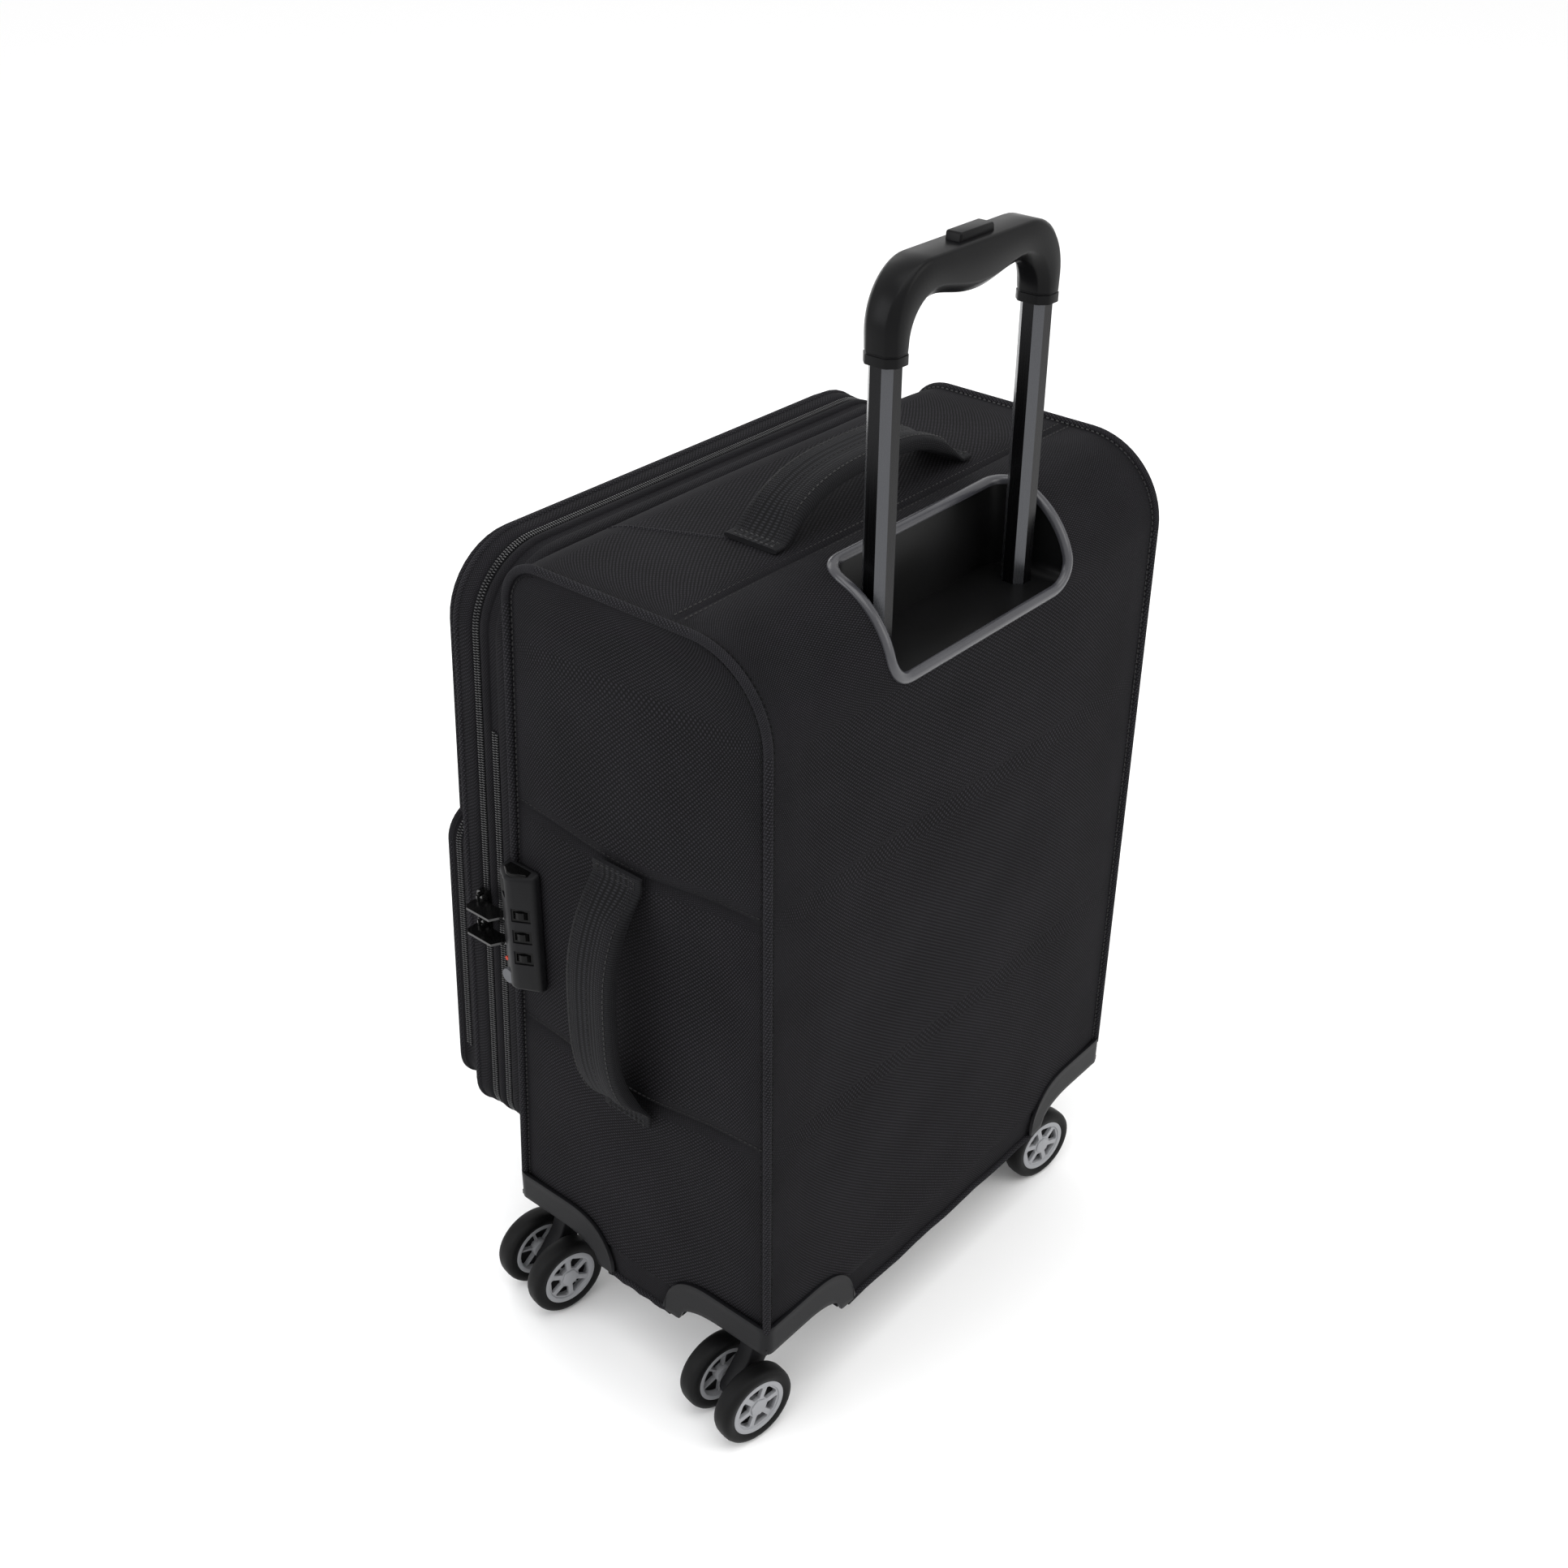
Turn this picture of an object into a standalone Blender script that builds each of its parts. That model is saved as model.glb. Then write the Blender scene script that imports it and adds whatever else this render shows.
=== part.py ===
"""A softside upright suitcase: a fabric-covered case with a zipped front lid, a telescopic handle,
two carry handles, a combination lock and four twin-wheel swivel casters.

Metres, +Z up. The lock and the side handle are on +X, the telescopic handle is at the back, +Y.
The pieces are modelled in the case's own coordinates: x = 0 is the middle of the width, y = 0 the
back face, z = 0 the floor. case_frame then puts the middle of the whole footprint on the origin.
"""

import math

import bmesh
import bpy
from mathutils import Matrix, Vector

# Clearances
GAP = 0.0003
SLIDE_GAP = 0.0004

# Case shell
CASE_WIDTH = 0.358
CASE_DEPTH = 0.212
CASE_TOP = 0.540
CASE_BOTTOM = 0.058
WALL = 0.004
BACK_TOP_RADIUS = 0.050
FRONT_TOP_RADIUS = 0.026
FRONT_SLOPE = 0.055

# Wheel wells and the moulded guards around them
GUARD_ARM = 0.082
GUARD_WALL = 0.0022
GUARD_HEIGHT = 0.021
GUARD_TOP = 0.098
GUARD_TIP_BOTTOM = 0.060
GUARD_TIP = 0.011
GUARD_BEND = 0.5
WELL_SIZE = 0.072
WELL_RAMP = 0.005
WELL_CEILING = 0.0035
WELL_WALL = 0.002
SOCKET_RADIUS = 0.0105
SOCKET_HEIGHT = 0.009

# Casters
WHEEL_RADIUS = 0.0266
WHEEL_WIDTH = 0.014
WHEEL_SPACING = 0.034
WHEEL_SIDES = 24
TYRE_EDGE = 0.001
TYRE_ROUND = 0.0015
TYRE_SHOULDER = 0.004
HUB_RADIUS = 0.0188
HUB_RIM = 0.0018
HUB_BOSS = 0.007
HUB_DISH = 0.0035
HUB_CAP = 0.003
AXLE_RADIUS = 0.0025
CASTER_TRAIL = 0.022
CASTER_TURN = math.radians(-10)
CASTER_SIDE_INSET = 0.025
CASTER_BACK_INSET = 0.024
CASTER_FRONT_INSET = 0.020
STEM_RADIUS = 0.004
STEM_TOP = 0.088
FORK_TOP = 0.0692
FORK_PLATE = 0.006
FORK_THICKNESS = 0.013
FORK_NECK = 0.0075
FORK_EYE = 0.008

# Front lid, its expansion band and its pockets. Depths are measured forward from the case's front.
LID_SIDE_MARGIN = 0.0005
LID_BOTTOM = 0.126
LID_TOP_MARGIN = 0.009
LID_TOP_CORNER = 0.045
LID_BOTTOM_CORNER = 0.028
BAND_DEPTH = 0.025
BAND_WALL = 0.006
PLEAT_WALL = 0.0015
PLEAT_DEPTH = 0.040
PLEAT_TOP = 0.430
LID_GUSSET_DEPTH = 0.0125
LID_GUSSET_WALL = 0.004
LID_PANEL_WALL = 0.003
UPPER_POCKET_DEPTH = 0.007
LOWER_POCKET_DEPTH = 0.0185
POCKET_SPLIT = 0.352
POCKET_INSET = 0.003
POCKET_EDGE = 0.005
POCKET_HEM_CORNER = 0.006
POCKET_TOP_CORNER = 0.020
LOWER_POCKET_LIFT = 0.012

# Telescopic handle
TUBE_SPACING = 0.130
TUBE_SETBACK = 0.0238
TUBE_WIDTH = 0.0155
TUBE_CHAMFER = 0.0042
TUBE_WALL = 0.0012
INNER_TUBE_BOTTOM = 0.252
GRIP_BOTTOM = 0.652
GRIP_SOCKET = 0.010
GRIP_TOP = 0.700
GRIP_BAR = 0.021
GRIP_LEG = 0.0175
GRIP_DEPTH = 0.021
GRIP_OUTER_RADIUS = 0.032
GRIP_INNER_RADIUS = 0.020
GRIP_BEVEL = 0.004
BUTTON_LENGTH = 0.026
BUTTON_WIDTH = 0.009
BUTTON_PROUD = 0.004
BUTTON_DEPTH = 0.009
BUTTON_TRAVEL = 0.003
BUTTON_CORNER = 0.002
BUTTON_BEVEL = 0.001
ROD_RADIUS = 0.0015
FOOT_HEIGHT = 0.020
FOOT_OVERHANG = 0.014
FOOT_DEPTH = 0.026
FOOT_CORNER = 0.004

# Handle cup in the top back corner
CUP_HALF_WIDTH = 0.080
CUP_FLOOR = 0.490
CUP_FLOOR_WALL = 0.005
CUP_WALL = 0.005
CUP_DEPTH = 0.047
CUP_CORNER = 0.016
CUP_PROUD = 0.0022

# Carry handles
CARRY_SPAN = 0.168
CARRY_WIDTH = 0.036
CARRY_RISE = 0.030
CARRY_THICKNESS = 0.0075
CARRY_FOOT = 0.016
CARRY_HEM = 0.0045
TOP_CARRY_Y = -0.092
SIDE_CARRY_Y = -0.104
SIDE_CARRY_Z = 0.294

# Combination lock
LOCK_BOTTOM = 0.262
LOCK_HEIGHT = 0.085
LOCK_FRONT_OVERLAP = 0.0015
LOCK_WIDTH = 0.027
LOCK_EDGE_HEIGHT = 0.006
LOCK_FRONT_HEIGHT = 0.008
LOCK_RIDGE_HEIGHT = 0.0135
LOCK_RIDGE_SETBACK = 0.0119
LOCK_RIDGE_FLAT = 0.004
LOCK_BEVEL = 0.003
DIAL_COUNT = 3
DIAL_PITCH = 0.0152
DIAL_RADIUS = 0.0052
DIAL_THICKNESS = 0.0046
DIAL_SETBACK = 0.0105
DIAL_LIFT = 0.0068
FIRST_DIAL = 0.288
KEY_RADIUS = 0.0048
KEY_LENGTH = 0.005
KEY_HEIGHT = 0.0085
KEY_SETBACK = 0.0062
KEY_PROUD = 0.0015
RELEASE_LENGTH = 0.010
RELEASE_DEPTH = 0.005
RELEASE_SEAT = 0.005
RELEASE_CORNER = 0.001
RELEASE_WIDTH = 0.006
RELEASE_HEIGHT = 0.073
RELEASE_TRAVEL = 0.003

# Zip sliders and pulls on the main zip, beside the lock
SLIDER_LENGTH = 0.011
SLIDER_WIDTH = 0.009
SLIDER_HEIGHT = 0.0035
SLIDER_CORNER = 0.002
PULL_HEIGHTS = (0.289, 0.307)
PULL_WIDTH = 0.012
PULL_THICKNESS = 0.0016
PULL_EYE = 0.0025
PULL_PIN_LIFT = 0.0065
PULL_TIP = 0.003
PULL_TIP_WIDTH = 0.0045
PULL_SLOT_ROOM = 0.0007
PIN_RADIUS = 0.0011
PIN_ARM = 0.002

# Worked out from the values above
HALF_WIDTH = CASE_WIDTH / 2
INNER_HALF = HALF_WIDTH - WALL - GAP
WELL_TOP = GUARD_TOP - GUARD_HEIGHT + WELL_CEILING
LID_HALF = HALF_WIDTH - LID_SIDE_MARGIN
LID_TOP = CASE_TOP - LID_TOP_MARGIN
LID_PLANE = BAND_DEPTH + GAP
LID_FRONT = LID_PLANE + LID_GUSSET_DEPTH + GAP + LID_PANEL_WALL
TUBE_X = TUBE_SPACING / 2
AXLE_HEIGHT = WHEEL_RADIUS
OUTER_TUBE_WIDTH = TUBE_WIDTH + 2 * SLIDE_GAP + 2 * TUBE_WALL
OUTER_TUBE_TOP = CUP_FLOOR - CUP_FLOOR_WALL - GAP
FOOT_BOTTOM = CASE_BOTTOM + WALL + GAP
OUTER_TUBE_BOTTOM = FOOT_BOTTOM + FOOT_HEIGHT + GAP


for old in list(bpy.data.objects):
    bpy.data.objects.remove(old, do_unlink=True)


# ---------------------------------------------------------------- materials

def material(name, colour, roughness, metallic=0.0):
    made = bpy.data.materials.new(name)
    made.use_nodes = True
    shader = made.node_tree.nodes["Principled BSDF"]
    shader.inputs["Base Color"].default_value = (*colour, 1)
    shader.inputs["Roughness"].default_value = roughness
    shader.inputs["Metallic"].default_value = metallic
    return made


FINISHES = {
    "twill": ((0.012, 0.012, 0.013), 0.85, 0.0),
    "webbing": ((0.010, 0.010, 0.011), 0.9, 0.0),
    "guard_plastic": ((0.045, 0.046, 0.050), 0.5, 0.0),
    "cup_plastic": ((0.030, 0.030, 0.032), 0.4, 0.0),
    "grip_plastic": ((0.028, 0.028, 0.030), 0.45, 0.0),
    "anodised_tube": ((0.020, 0.020, 0.022), 0.25, 0.9),
    "lock_plastic": ((0.035, 0.035, 0.038), 0.45, 0.0),
    "dial_plastic": ((0.010, 0.010, 0.010), 0.2, 0.0),
    "zip_metal": ((0.015, 0.015, 0.016), 0.18, 0.8),
    "steel": ((0.35, 0.35, 0.36), 0.3, 1.0),
    "tyre_rubber": ((0.030, 0.029, 0.030), 0.6, 0.0),
    "hub_plastic": ((0.22, 0.22, 0.23), 0.4, 0.0),
    "liner_board": ((0.10, 0.10, 0.11), 0.8, 0.0),
}


# ---------------------------------------------------------------- building blocks

def empty(name, parent=None, place=(0, 0, 0), turn=0.0):
    made = bpy.data.objects.new(name, None)
    bpy.context.scene.collection.objects.link(made)
    made.parent = parent
    made.location = place
    made.rotation_euler.z = turn
    return made


def piece(name, shape, finish, parent, place=(0, 0, 0)):
    """Make the object for a bmesh, with a material of its own."""
    bmesh.ops.recalc_face_normals(shape, faces=shape.faces)
    mesh = bpy.data.meshes.new(name)
    shape.to_mesh(mesh)
    shape.free()
    mesh.shade_smooth()
    mesh.set_sharp_from_angle(angle=math.radians(30))
    made = bpy.data.objects.new(name, mesh)
    bpy.context.scene.collection.objects.link(made)
    made.data.materials.append(material(name, *FINISHES[finish]))
    made.parent = parent
    made.location = place
    return made


def combine(body, other, operation):
    """Join another bmesh to a piece, or cut it away, and leave one plain mesh."""
    tool = piece("tool", other, "steel", body.parent, body.location)
    change = body.modifiers.new("combine", "BOOLEAN")
    change.operation = operation
    change.object = tool
    bpy.context.view_layer.update()
    bpy.context.view_layer.objects.active = body
    bpy.ops.object.modifier_apply(modifier=change.name)
    bpy.data.objects.remove(tool, do_unlink=True)


def arc(centre, radius, start, end, steps):
    """Points on a circle, from one angle in degrees to another."""
    points = []
    for step in range(steps + 1):
        angle = math.radians(start + (end - start) * step / steps)
        points.append((centre[0] + radius * math.cos(angle), centre[1] + radius * math.sin(angle)))
    return points


def rounded(low, high, bottom_radius, top_radius, steps=5):
    """A rectangle with round corners, anticlockwise from the bottom right corner."""
    return (
        arc((high[0] - bottom_radius, low[1] + bottom_radius), bottom_radius, -90, 0, steps)
        + arc((high[0] - top_radius, high[1] - top_radius), top_radius, 0, 90, steps)
        + arc((low[0] + top_radius, high[1] - top_radius), top_radius, 90, 180, steps)
        + arc((low[0] + bottom_radius, low[1] + bottom_radius), bottom_radius, 180, 270, steps)
    )


def octagon(width, depth, chamfer):
    """A rectangle with its four corners cut off."""
    x, y = width / 2, depth / 2
    quarter = [(x, y - chamfer), (x - chamfer, y)]
    half = quarter + [(-px, py) for px, py in reversed(quarter)]
    return half + [(-px, -py) for px, py in half]


def placed(axis, along, across):
    """The 3-D point of a 2-D outline point, for an outline that is extruded along an axis."""
    u, v = across
    return {"x": (along, u, v), "y": (u, along, v), "z": (u, v, along)}[axis]


def slab(outline, axis, low, high):
    """An outline extruded along an axis."""
    shape = bmesh.new()
    face = shape.faces.new([shape.verts.new(placed(axis, low, point)) for point in outline])
    moved = bmesh.ops.extrude_face_region(shape, geom=[face])["geom"]
    step = Vector(placed(axis, high - low, (0, 0)))
    bmesh.ops.translate(shape, verts=[v for v in moved if isinstance(v, bmesh.types.BMVert)], vec=step)
    return shape


def band(outer, inner, axis, low, high):
    """A frame between two outlines that have the same number of points, extruded along an axis."""
    shape = bmesh.new()
    loops = []
    for outline, along in ((outer, low), (inner, low), (inner, high), (outer, high)):
        loops.append([shape.verts.new(placed(axis, along, point)) for point in outline])
    count = len(outer)
    for first, second in zip(loops, loops[1:] + loops[:1]):
        for i in range(count):
            j = (i + 1) % count
            shape.faces.new((first[i], first[j], second[j], second[i]))
    return shape


def turned(profile, axis, sides, offset=0.0):
    """A closed (radius, height) profile turned about an axis. A point of radius 0 closes an end."""
    shape = bmesh.new()
    rings = []
    for radius, height in profile:
        if radius == 0:
            rings.append([shape.verts.new(placed(axis, height, (0, 0)))])
            continue
        ring = []
        for side in range(sides):
            angle = offset + 2 * math.pi * side / sides
            across = (radius * math.cos(angle), radius * math.sin(angle))
            ring.append(shape.verts.new(placed(axis, height, across)))
        rings.append(ring)
    for first, second in zip(rings, rings[1:] + rings[:1]):
        for i in range(sides):
            j = (i + 1) % sides
            if len(first) == 1 and len(second) == 1:
                break
            if len(first) == 1:
                shape.faces.new((first[0], second[i], second[j]))
            elif len(second) == 1:
                shape.faces.new((first[i], first[j], second[0]))
            else:
                shape.faces.new((first[i], first[j], second[j], second[i]))
    return shape


def rod(axis, radius, low, high, sides=16, centre=(0, 0)):
    """A plain cylinder whose centre line crosses the other two axes at centre."""
    shape = turned([(0, low), (radius, low), (radius, high), (0, high)], axis, sides)
    bmesh.ops.translate(shape, verts=shape.verts, vec=Vector(placed(axis, 0, centre)))
    return shape


def bevel_edges(shape, width, segments, chosen):
    """Bevel the edges for which chosen(middle, direction) is true."""
    edges = []
    for edge in shape.edges:
        first, second = edge.verts
        if chosen((first.co + second.co) / 2, (second.co - first.co).normalized()):
            edges.append(edge)
    bmesh.ops.bevel(shape, geom=edges, offset=width, segments=segments, profile=0.5, affect="EDGES")


def front_of_case(height):
    """Where the case's sloping front is, at a height."""
    return -(CASE_DEPTH - FRONT_SLOPE * height)


def lean(shape):
    """Move a shape that was modelled forward from y = 0 onto the case's sloping front."""
    for vertex in shape.verts:
        vertex.co.y += front_of_case(vertex.co.z)
    return shape


# ---------------------------------------------------------------- case shell

case = empty("case_frame")


def back_and_top(inset):
    """The back, the top and both rounded top edges, as (y, z) points, moved in by inset."""
    front = front_of_case(CASE_TOP - FRONT_TOP_RADIUS)
    back_centre = (-BACK_TOP_RADIUS, CASE_TOP - BACK_TOP_RADIUS)
    front_centre = (front + FRONT_TOP_RADIUS, CASE_TOP - FRONT_TOP_RADIUS)
    return (
        [(-inset, CASE_BOTTOM)]
        + arc(back_centre, BACK_TOP_RADIUS - inset, 0, 90, 8)
        + arc(front_centre, FRONT_TOP_RADIUS - inset, 90, 180, 5)
    )


def well_notch(edge, inward):
    """The outline of a wheel well in a wall's lower corner, from the wall's edge inwards."""
    return [
        (edge, WELL_TOP + GAP),
        (edge + inward * WELL_SIZE, WELL_TOP + GAP),
        (edge + inward * (WELL_SIZE + WELL_RAMP), CASE_BOTTOM),
    ]


def side_outline():
    front = front_of_case(WELL_TOP)
    bottom = well_notch(front, 1) + list(reversed(well_notch(0, -1)))
    return bottom + back_and_top(0)[1:]


for name, low in (("side_panel_left", -HALF_WIDTH), ("side_panel_right", HALF_WIDTH - WALL)):
    piece(name, slab(side_outline(), "x", low, low + WALL), "twill", case)

wrap = back_and_top(0) + list(reversed(back_and_top(WALL)))
back_panel = piece("back_panel", slab(wrap, "x", -INNER_HALF, INNER_HALF), "twill", case)
for side in (-1, 1):
    edge = side * (INNER_HALF + WALL)
    notch = well_notch(edge, -side)
    notch += [(edge - side * (WELL_SIZE + WELL_RAMP), CASE_BOTTOM - WALL), (edge, CASE_BOTTOM - WALL)]
    combine(back_panel, slab(notch, "y", -2 * WALL, WALL), "DIFFERENCE")

kick_top = LID_BOTTOM - GAP
kick_outline = (
    list(reversed(well_notch(-INNER_HALF, 1)))
    + [(-INNER_HALF, kick_top), (INNER_HALF, kick_top)]
    + well_notch(INNER_HALF, -1)
)
piece("front_kick_panel", lean(slab(kick_outline, "y", 0, WALL)), "twill", case)

base_back = -WALL - GAP
base_front = front_of_case(CASE_BOTTOM) + WALL + GAP
well_edge = WELL_SIZE + GAP
base_outline = []
for sx, sy in ((1, 1), (-1, 1), (-1, -1), (1, -1)):
    y = base_back if sy > 0 else base_front
    notch_y = -well_edge if sy > 0 else front_of_case(WELL_TOP) + well_edge
    corner = [
        (sx * INNER_HALF, notch_y),
        (sx * (HALF_WIDTH - well_edge), notch_y),
        (sx * (HALF_WIDTH - well_edge), y),
    ]
    base_outline += corner if sx * sy > 0 else list(reversed(corner))
piece("base_panel", slab(base_outline, "z", CASE_BOTTOM, CASE_BOTTOM + WALL), "liner_board", case)


# ---------------------------------------------------------------- corner guards with wheel wells

def quarter_ellipse(start, end, steps):
    """Points from the top of a quarter ellipse, level at start, to its steep lower end."""
    points = []
    for across, up in arc((0, 0), 1, 90, 0, steps):
        points.append((start[0] + (end[0] - start[0]) * across, end[1] + (start[1] - end[1]) * up))
    return points


def guard_arm():
    """One arm's side view, as (distance from the corner, height): a band that arches over the well."""
    low = GUARD_TOP - GUARD_HEIGHT
    lower = quarter_ellipse((GUARD_ARM * GUARD_BEND, low), (GUARD_ARM - GUARD_TIP, GUARD_TIP_BOTTOM), 5)
    upper = quarter_ellipse((GUARD_ARM * GUARD_BEND, GUARD_TOP), (GUARD_ARM, GUARD_TIP_BOTTOM), 6)
    return [(0, low)] + lower + list(reversed(upper)) + [(0, GUARD_TOP)]


def corner_guard(name, sx, sy, corner_y, swivel):
    """A guard and its wheel well, modelled for a corner at +X +Y and mirrored to where it goes."""
    skin = GAP + GUARD_WALL
    arm = [(skin - distance, height) for distance, height in guard_arm()]
    made = piece(name, slab(arm, "x", GAP, skin), "guard_plastic", case)
    combine(made, slab(arm, "y", GAP, skin), "UNION")
    low = WELL_TOP - WELL_CEILING
    rim = GAP + GUARD_WALL / 2
    plate = [(rim, -WELL_SIZE), (rim, rim), (-WELL_SIZE, rim), (-WELL_SIZE, -WELL_SIZE)]
    combine(made, slab(plate, "z", low, WELL_TOP), "UNION")
    inner = WELL_WALL - WELL_SIZE
    walls = [(-WELL_SIZE, -GAP), (-WELL_SIZE, -WELL_SIZE), (-GAP, -WELL_SIZE)]
    walls += [(-GAP, inner), (inner, inner), (inner, -GAP)]
    combine(made, slab(walls, "z", CASE_BOTTOM, low + WELL_CEILING / 2), "UNION")
    seat = (swivel[0], swivel[1])
    boss = rod("z", SOCKET_RADIUS, low - GUARD_WALL, WELL_TOP + SOCKET_HEIGHT, 20, seat)
    combine(made, boss, "UNION")
    bore = rod("z", STEM_RADIUS + GAP, low - 2 * GUARD_WALL, STEM_TOP + GAP, 16, seat)
    combine(made, bore, "DIFFERENCE")
    mirror = Matrix.Diagonal((sx, sy, 1, 1))
    made.data.transform(mirror)
    if sx * sy < 0:
        made.data.flip_normals()
    made.location = (sx * HALF_WIDTH, corner_y, 0)


# ---------------------------------------------------------------- casters

def wheel_shapes():
    """A hub and a tyre for a wheel on +Y of its fork, turned about their own axle."""
    inside, outside = -WHEEL_WIDTH / 2, WHEEL_WIDTH / 2
    bore = AXLE_RADIUS + GAP
    hub = turned(
        [
            (bore, inside),
            (HUB_BOSS, inside),
            (HUB_BOSS + TYRE_EDGE, inside + HUB_DISH),
            (HUB_RADIUS - HUB_RIM, inside + HUB_DISH),
            (HUB_RADIUS, inside + TYRE_EDGE),
            (HUB_RADIUS, outside - TYRE_EDGE),
            (HUB_RADIUS - HUB_RIM, outside - TYRE_EDGE),
            (HUB_BOSS, outside - 2 * TYRE_EDGE),
            (0, outside - TYRE_EDGE),
            (0, outside - HUB_CAP),
            (bore, outside - HUB_CAP),
        ],
        "y",
        WHEEL_SIDES,
        math.pi / 2,
    )
    shoulder = WHEEL_RADIUS - TYRE_SHOULDER
    tread = outside - TYRE_SHOULDER
    tyre = turned(
        [
            (HUB_RADIUS + GAP, inside + TYRE_EDGE),
            (shoulder, inside),
            (WHEEL_RADIUS - TYRE_EDGE, inside + TYRE_ROUND),
            (WHEEL_RADIUS, -tread),
            (WHEEL_RADIUS, tread),
            (WHEEL_RADIUS - TYRE_EDGE, outside - TYRE_ROUND),
            (shoulder, outside),
            (HUB_RADIUS + GAP, outside - TYRE_EDGE),
        ],
        "y",
        WHEEL_SIDES,
        math.pi / 2,
    )
    return hub, tyre


def fork_leg():
    """The fork's side view in (x, z): from under the swivel plate down and back to the axle."""
    in_plate = FORK_TOP - FORK_PLATE / 2
    neck_low = FORK_TOP - FORK_PLATE - FORK_NECK / 2
    eye = arc((CASTER_TRAIL, AXLE_HEIGHT), FORK_EYE, -150, 60, 7)
    return [(-FORK_NECK, in_plate), (-FORK_NECK, neck_low)] + eye + [(FORK_NECK, in_plate)]


def caster(name, place):
    swivel = empty(name + "_swivel", case, place, CASTER_TURN)
    half = FORK_THICKNESS / 2
    fork = piece(name + "_fork", slab(fork_leg(), "y", -half, half), "guard_plastic", swivel)
    combine(fork, rod("z", SOCKET_RADIUS, FORK_TOP - FORK_PLATE, FORK_TOP, 20), "UNION")
    combine(fork, rod("z", STEM_RADIUS, FORK_TOP - FORK_PLATE / 2, STEM_TOP, 16), "UNION")
    hole = rod("y", AXLE_RADIUS + GAP, -2 * half, 2 * half, 16, (CASTER_TRAIL, AXLE_HEIGHT))
    combine(fork, hole, "DIFFERENCE")
    reach = WHEEL_SPACING / 2 + WHEEL_WIDTH / 2 - HUB_CAP - GAP
    axle_place = (CASTER_TRAIL, 0, AXLE_HEIGHT)
    piece(name + "_axle", rod("y", AXLE_RADIUS, -reach, reach), "steel", swivel, axle_place)
    for side, sign in (("outer", 1), ("inner", -1)):
        hub, tyre = wheel_shapes()
        centre = (CASTER_TRAIL, sign * WHEEL_SPACING / 2, AXLE_HEIGHT)
        for part, shape, finish in (("hub", hub, "hub_plastic"), ("tyre", tyre, "tyre_rubber")):
            if sign < 0:
                bmesh.ops.rotate(shape, verts=shape.verts, matrix=Matrix.Rotation(math.pi, 3, "Z"))
            piece(f"{name}_{side}_{part}", shape, finish, swivel, centre)


FRONT_CORNER = front_of_case(WELL_TOP)
CORNERS = (("back_right", 1, 1), ("back_left", -1, 1), ("front_left", -1, -1), ("front_right", 1, -1))
for name, sx, sy in CORNERS:
    corner_y = 0 if sy > 0 else FRONT_CORNER
    inset_y = CASTER_BACK_INSET if sy > 0 else CASTER_FRONT_INSET
    corner_guard(name + "_guard", sx, sy, corner_y, (-CASTER_SIDE_INSET, -inset_y))
    caster(name, (sx * (HALF_WIDTH - CASTER_SIDE_INSET), corner_y - sy * inset_y, 0))


# ---------------------------------------------------------------- front lid

lid_low = (-LID_HALF, LID_BOTTOM)
lid_high = (LID_HALF, LID_TOP)


def lid_outline(inset):
    low = (lid_low[0] + inset, lid_low[1] + inset)
    high = (lid_high[0] - inset, lid_high[1] - inset)
    return rounded(low, high, LID_BOTTOM_CORNER - inset, LID_TOP_CORNER - inset)


expansion = empty("expansion_hinge", case, (0, front_of_case(LID_TOP), LID_TOP))


def hung(name, shape, finish, hinge):
    """A piece modelled in the case's coordinates whose origin is on its hinge."""
    bmesh.ops.translate(shape, verts=shape.verts, vec=-Vector(hinge.location))
    return piece(name, shape, finish, hinge)


pleat = band(lid_outline(BAND_WALL - PLEAT_WALL), lid_outline(BAND_WALL), "y", -BAND_DEPTH / 2, PLEAT_DEPTH)
gusset = hung("expansion_gusset", lean(pleat), "twill", expansion)
wedge_back = 2 * PLEAT_DEPTH
wedge = [(GAP, PLEAT_TOP), (PLEAT_DEPTH, LID_BOTTOM), (wedge_back, LID_BOTTOM - PLEAT_DEPTH)]
wedge += [(wedge_back, CASE_TOP + PLEAT_DEPTH), (-GAP, CASE_TOP + PLEAT_DEPTH), (-GAP, PLEAT_TOP)]
spare = lean(slab(wedge, "x", -CASE_WIDTH, CASE_WIDTH))
bmesh.ops.translate(spare, verts=spare.verts, vec=-Vector(expansion.location))
combine(gusset, spare, "DIFFERENCE")
strip = lean(band(lid_outline(0), lid_outline(BAND_WALL), "y", -BAND_DEPTH, -GAP))
bmesh.ops.translate(strip, verts=strip.verts, vec=-Vector(expansion.location))
combine(gusset, strip, "UNION")

hinge_lean = math.atan(FRONT_SLOPE)
hinge_y = front_of_case(LID_BOTTOM) - LID_PLANE
lid_hinge = empty("lid_hinge", case, (-HALF_WIDTH - GUARD_WALL, hinge_y, LID_BOTTOM))
gusset_front = LID_PLANE + LID_GUSSET_DEPTH
lid_ring = band(lid_outline(0), lid_outline(LID_GUSSET_WALL), "y", -gusset_front, -LID_PLANE - GAP)
hung("lid_gusset", lean(lid_ring), "twill", lid_hinge)
lid_plate = slab(lid_outline(0), "y", -LID_FRONT, -gusset_front - GAP)
hung("lid_panel", lean(lid_plate), "twill", lid_hinge)


def pocket(name, low, high, bottom_radius, top_radius, depth):
    """A filled pocket on the lid's face, with its front edge rounded over."""
    outline = rounded(low, high, bottom_radius, top_radius)
    shape = slab(outline, "y", -LID_FRONT - GAP - depth, -LID_FRONT - GAP)
    face_y = -LID_FRONT - GAP - depth
    bevel_edges(shape, min(POCKET_EDGE, depth * 0.8), 2, lambda middle, _: abs(middle.y - face_y) < GAP)
    hung(name, lean(shape), "twill", lid_hinge)


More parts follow.
